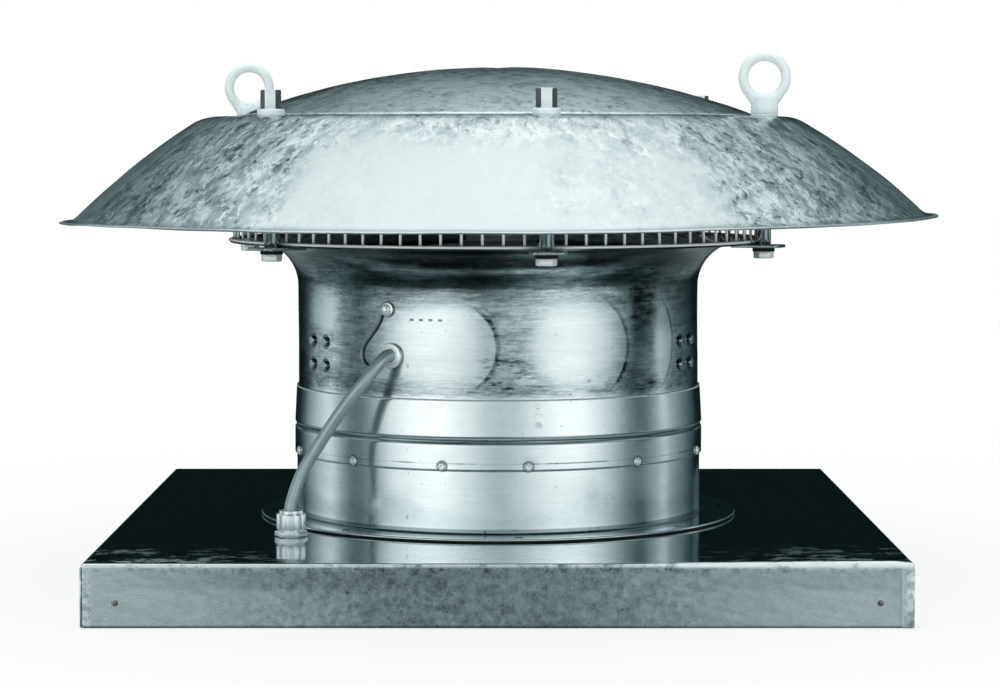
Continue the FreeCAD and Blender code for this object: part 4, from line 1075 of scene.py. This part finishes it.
# from the wall down to the gland and through the pan: x, y, z
CABLE_OUTSIDE = ((-140.0, -212, 227), (-166.5, -206, 193), (-191, -203, 156),
                 (-207.5, -204.5, 128), (GLAND_X, GLAND_Y, 97), (GLAND_X, GLAND_Y, 84),
                 (GLAND_X, GLAND_Y, 70), (GLAND_X, GLAND_Y, 54.8))


def cable_centres():
    """Evenly spaced points of a smooth spline through the cable's stations, and their lengths."""
    knots = [Vector((r * math.sin(ENTRY_ANGLE), -r * math.cos(ENTRY_ANGLE), z))
             for r, z in CABLE_INSIDE]
    knots += [Vector(point) for point in CABLE_OUTSIDE]
    knots = [knots[0] * 2 - knots[1]] + knots + [knots[-1] * 2 - knots[-2]]
    dense = []
    for i in range(1, len(knots) - 2):
        a, b, c, d = knots[i - 1:i + 3]
        for k in range(24):
            u = k / 24
            dense.append(0.5 * ((2 * b) + (c - a) * u + (2 * a - 5 * b + 4 * c - d) * u * u
                                + (3 * b - a - 3 * c + d) * u ** 3))
    dense.append(knots[-2])
    lengths = [0.0]
    for a, b in zip(dense, dense[1:]):
        lengths.append(lengths[-1] + (b - a).length)
    points = np.array([tuple(point) for point in dense])
    stations = np.linspace(0, lengths[-1], CABLE_STATIONS)
    centres = np.stack([np.interp(stations, lengths, points[:, k]) for k in range(3)], 1)
    for _ in range(3):
        centres[1:-1] = 0.25 * centres[:-2] + 0.5 * centres[1:-1] + 0.25 * centres[2:]
    return centres, stations


def power_cable():
    centres, stations = cable_centres()
    tangents = np.gradient(centres, axis=0)
    tangents /= np.linalg.norm(tangents, axis=1)[:, None]
    normal = np.cross(tangents[0], (0.3, 0.5, 0.8))
    vertices = []
    for centre, tangent, s in zip(centres, tangents, stations):
        normal = normal - tangent * np.dot(normal, tangent)
        normal /= np.linalg.norm(normal)
        side = np.cross(tangent, normal)
        uneven = 0.004 * math.sin(s * 0.9) + 0.003 * math.sin(s * 0.37 + 1)
        radius = CABLE_RADIUS * (1 + uneven)
        for k in range(CABLE_RING):
            a = 2 * math.pi * k / CABLE_RING
            vertices.append((centre + radius * (math.cos(a) * normal + math.sin(a) * side)) * MM)
    faces = grid_faces(CABLE_STATIONS, CABLE_RING, CABLE_STATIONS - 1)
    # fans that close both ends
    first = len(vertices)
    last_ring = first - CABLE_RING
    vertices += [centres[0] * MM, centres[-1] * MM]
    for k in range(CABLE_RING):
        m = (k + 1) % CABLE_RING
        faces.append((first, m, k))
        faces.append((first + 1, last_ring + k, last_ring + m))
    cable = mesh_object("power_cable_sheath", np.array(vertices), faces)
    hand_over(cable, FINISH["sheath"], "power_cable")


power_cable()

# ------------------------------------------------------------------ CAD nodes shown as they are
# node: finish, bevel width in mm (0 for none)
SHOWN = {
    "corner_tabs": ("base", 0.25), "curb_seal": ("foam", 0.6),
    "flange_gasket": ("rubber", 0.3), "flange_screws": ("zinc", 0.2),
    "flange_nuts": ("zinc", 0.2), "lap_rivets": ("bright", 0.15),
    "hood_lugs": ("lug", 0.4), "hood_bolts": ("bright", 0.35),
    "isolation_washers": ("rubber", 0.5), "spacer_tubes": ("tube", 0.3),
    "sealing_washers": ("eye", 0.3), "hood_nuts": ("nut", 0.35),
    "motor_top_cap": ("bright", 0.6), "eye_nut_left": ("eye", 0.6),
    "eye_nut_right": ("eye", 0.6), "guard_wires": ("wire", 0), "guard_rings": ("wire", 0),
    "support_arms": ("lug", 0.4), "motor_mount_ring": ("lug", 0.4),
    "arm_bolts": ("bolt", 0.3), "arm_nuts": ("zinc", 0.3),
    "motor_housing": ("cast", 0.5), "lower_end_shield": ("cast", 0.5),
    "upper_end_shield": ("cast", 0.6), "tie_bolts": ("zinc", 0.2),
    "motor_flange_bolts": ("zinc", 0.2), "terminal_box": ("cast", 0.5),
    "terminal_box_cover": ("cast", 0.5), "stator_core": ("lamination", 0),
    "stator_windings": ("copper", 0), "rotor_core": ("lamination", 0),
    "rotor_shaft": ("ground", 0.2), "shaft_key": ("ground", 0.2),
    "lower_bearing_outer": ("ground", 0.2), "lower_bearing_inner": ("ground", 0.2),
    "lower_bearing_balls": ("ground", 0), "upper_bearing_outer": ("ground", 0.2),
    "upper_bearing_inner": ("ground", 0.2), "upper_bearing_balls": ("ground", 0),
    "shaft_seal": ("rubber", 0), "impeller_hub": ("cast", 0.5),
    "impeller_blades": ("cast", 0.3), "hub_washer": ("zinc", 0.2), "hub_bolt": ("zinc", 0.2),
    "cable_grommet": ("bright", 0.5), "gland_body": ("nickel", 0.35),
    "gland_nut": ("nickel", 0.3), "gland_seal": ("rubber", 0.2),
    "gland_locknut": ("nickel", 0.3), "earth_screw": ("nickel", 0.2), "earth_lead": ("lead", 0),
}
for name, (finish, bevel_width) in SHOWN.items():
    if name not in CAD:
        continue
    part = CAD[name]
    paint(part, FINISH[finish])
    weld = part.modifiers.new("weld", "WELD")
    weld.merge_threshold = 0.000004
    if bevel_width:
        bevel = part.modifiers.new("bevel", "BEVEL")
        bevel.width = bevel_width * MM
        bevel.segments = 2
        bevel.limit_method = "ANGLE"
        bevel.angle_limit = math.radians(38)
        bevel.use_clamp_overlap = True
    smooth(part.data)


# ------------------------------------------------------------------ floor, world, camera
def floor():
    """White disc: diffuse under the fan, glowing outside its footprint."""
    mesh = bpy.data.meshes.new("floor")
    build = bmesh.new()
    bmesh.ops.create_circle(build, cap_ends=True, segments=96, radius=14.0)
    build.to_mesh(mesh)
    build.free()
    disc = bpy.data.objects.new("floor", mesh)
    SCENE.collection.objects.link(disc)
    material, graph = new_material("studio_floor")
    point = graph.object_point()
    x, y, _ = point.xyz()
    diffuse = graph.node("ShaderNodeBsdfDiffuse", {"Color": (0.93, 0.94, 0.94)})
    glow = graph.node("ShaderNodeEmission", {"Color": (1.0, 1.0, 1.0), "Strength": 1.0})
    uneven = point.noise(scale=2, detail=2).swing(0.02)
    far = graph.math("ADD", point.length().step(0.55, 2.2), uneven, clamp=True)
    outside = abs(x).max(abs(y)).step(0.392, 0.420)
    shader = graph.node("ShaderNodeMixShader",
                        {0: outside * (0.84 + far * 0.16), 1: diffuse, 2: glow})
    graph.add("ShaderNodeOutputMaterial", {0: shader})
    paint(disc, material)
    disc.visible_glossy = False


floor()

# studio light: brightness at angles in degrees
RAMP_SCALE = 0.25               # ramps hold brightness times this, to stay within 0..1
SKY = (         # by elevation
    (-90, 0.03), (-20, 0.022), (-2, 0.005), (11, 0.007), (15, 0.06), (20, 0.17), (26, 0.28),
    (34, 0.42), (45, 0.68), (56, 1.05), (66, 1.22), (90, 1.25))
HORIZON = (     # by bearing, as are the rest
    (-180, 0.010), (-150, 0.012), (-144, 0.08), (-135, 0.28), (-122, 0.62), (-109, 0.95),
    (-100, 0.50), (-91, 0.18), (-83, 0.18), (-75, 0.34), (-62, 0.98), (-48, 1.36), (-32, 1.46),
    (-17, 1.06), (-7, 0.76), (3, 0.68), (13, 0.84), (24, 1.10), (35, 1.34), (46, 1.34),
    (58, 1.00), (70, 0.54), (77, 0.27), (84, 0.15), (91, 0.14), (99, 0.42), (107, 0.80),
    (114, 0.44), (122, 0.28), (136, 0.12), (150, 0.012), (180, 0.010))
BELOW_HORIZON = (
    (-180, 0.01), (-138, 0.05), (-110, 0.45), (-88, 0.15), (-62, 0.60), (-32, 1.05),
    (-17, 0.80), (-9, 0.58), (-5, 0.42), (0.5, 0.30), (5, 0.40), (10, 0.62), (24, 0.9),
    (45, 1.0), (60, 0.75), (80, 0.2), (100, 0.45), (125, 0.1), (150, 0.012), (180, 0.01))
LOW = (
    (-180, 0.42), (-115, 0.36), (-92, 0.06), (-70, 0.02), (-50, 0.10), (-35, 0.13),
    (-15, 0.05), (4, 0.06), (20, 0.30), (36, 0.46), (50, 0.30), (64, 0.03), (92, 0.06),
    (115, 0.36), (180, 0.42))
# red and green gains by half the brightness: a cool tint, stronger in the dark parts
RED_GAIN = ((0.0, 0.35), (0.01, 0.45), (0.10, 0.72), (0.5, 0.95), (1.0, 1.0))
GREEN_GAIN = ((0.0, 0.90), (0.01, 0.92), (0.10, 0.96), (0.5, 0.995), (1.0, 1.0))


def angle_ramp(factor, reach, stops):
    """Ramp over the angles from -reach to +reach."""
    return factor.ramp([((angle + reach) / (2 * reach), level * RAMP_SCALE)
                        for angle, level in stops])


def studio_world():
    """Lights the fan by direction; the camera sees plain white."""
    studio = bpy.data.worlds.new("studio")
    SCENE.world = studio
    studio.use_nodes = True
    graph = Graph(studio.node_tree)
    direction = graph.node("ShaderNodeTexCoord", output="Generated")
    x, y, z = graph.vector("NORMALIZE", direction).xyz()
    angle = bearing(x, y)
    elevation = z.math("ARCSINE") * (180 / math.pi)
    round_factor = (angle + 180.0) / 360.0
    sky = angle_ramp((elevation + 90.0) / 180.0, 90, SKY)
    # the three rings of light, each within a band of elevation
    horizon, below, low = [
        angle_ramp(round_factor, 180, stops) * elevation.band(rise, fall)
        for stops, rise, fall in ((HORIZON, (-9.5, -7.5), (24.0, 12.0)),
                                  (BELOW_HORIZON, (-16.0, -12.0), (-5.0, -8.0)),
                                  (LOW, (-52.0, -30.0), (-9.0, -15.0)))]
    # a small light behind the fan on either side
    right, left = [
        angle.band((side * 142.0, side * 152.0), (side * 172.0, side * 165.0))
        * elevation.band((-1.0, 3.0), (22.0, 14.0)) * (level * RAMP_SCALE)
        for side, level in ((1, 0.12), (-1, 0.16))]
    light = sky.max(horizon.max(below)).max(low).max(right + left) / RAMP_SCALE
    red = (light / 2.0).ramp(RED_GAIN)
    green = (light / 2.0).ramp(GREEN_GAIN)
    color = graph.color(light * red, light * green, light)
    rays = graph.add("ShaderNodeLightPath").outputs
    strength = 1.0 + Value(graph, rays["Is Diffuse Ray"]) * 0.55
    lit = graph.node("ShaderNodeBackground", {"Color": color, "Strength": strength})
    white = graph.node("ShaderNodeBackground", {"Color": (1.0, 1.0, 1.0), "Strength": 1.0})
    shader = graph.node("ShaderNodeMixShader",
                        {0: Value(graph, rays["Is Camera Ray"]), 1: lit, 2: white})
    graph.add("ShaderNodeOutputWorld", {0: shader})


studio_world()

lens = bpy.data.cameras.new("camera")
lens.lens = 102.46
lens.sensor_width = 36.0
lens.clip_start = 0.05
lens.clip_end = 100.0
camera = bpy.data.objects.new("camera", lens)
camera.location = (0.00209, -3.18504, 0.47748)
camera.rotation_euler = (math.radians(90 - 4.0366), 0, 0)       # looks a little down
SCENE.collection.objects.link(camera)
SCENE.camera = camera
SCENE.view_settings.view_transform = "Standard"
SCENE.view_settings.look = "None"
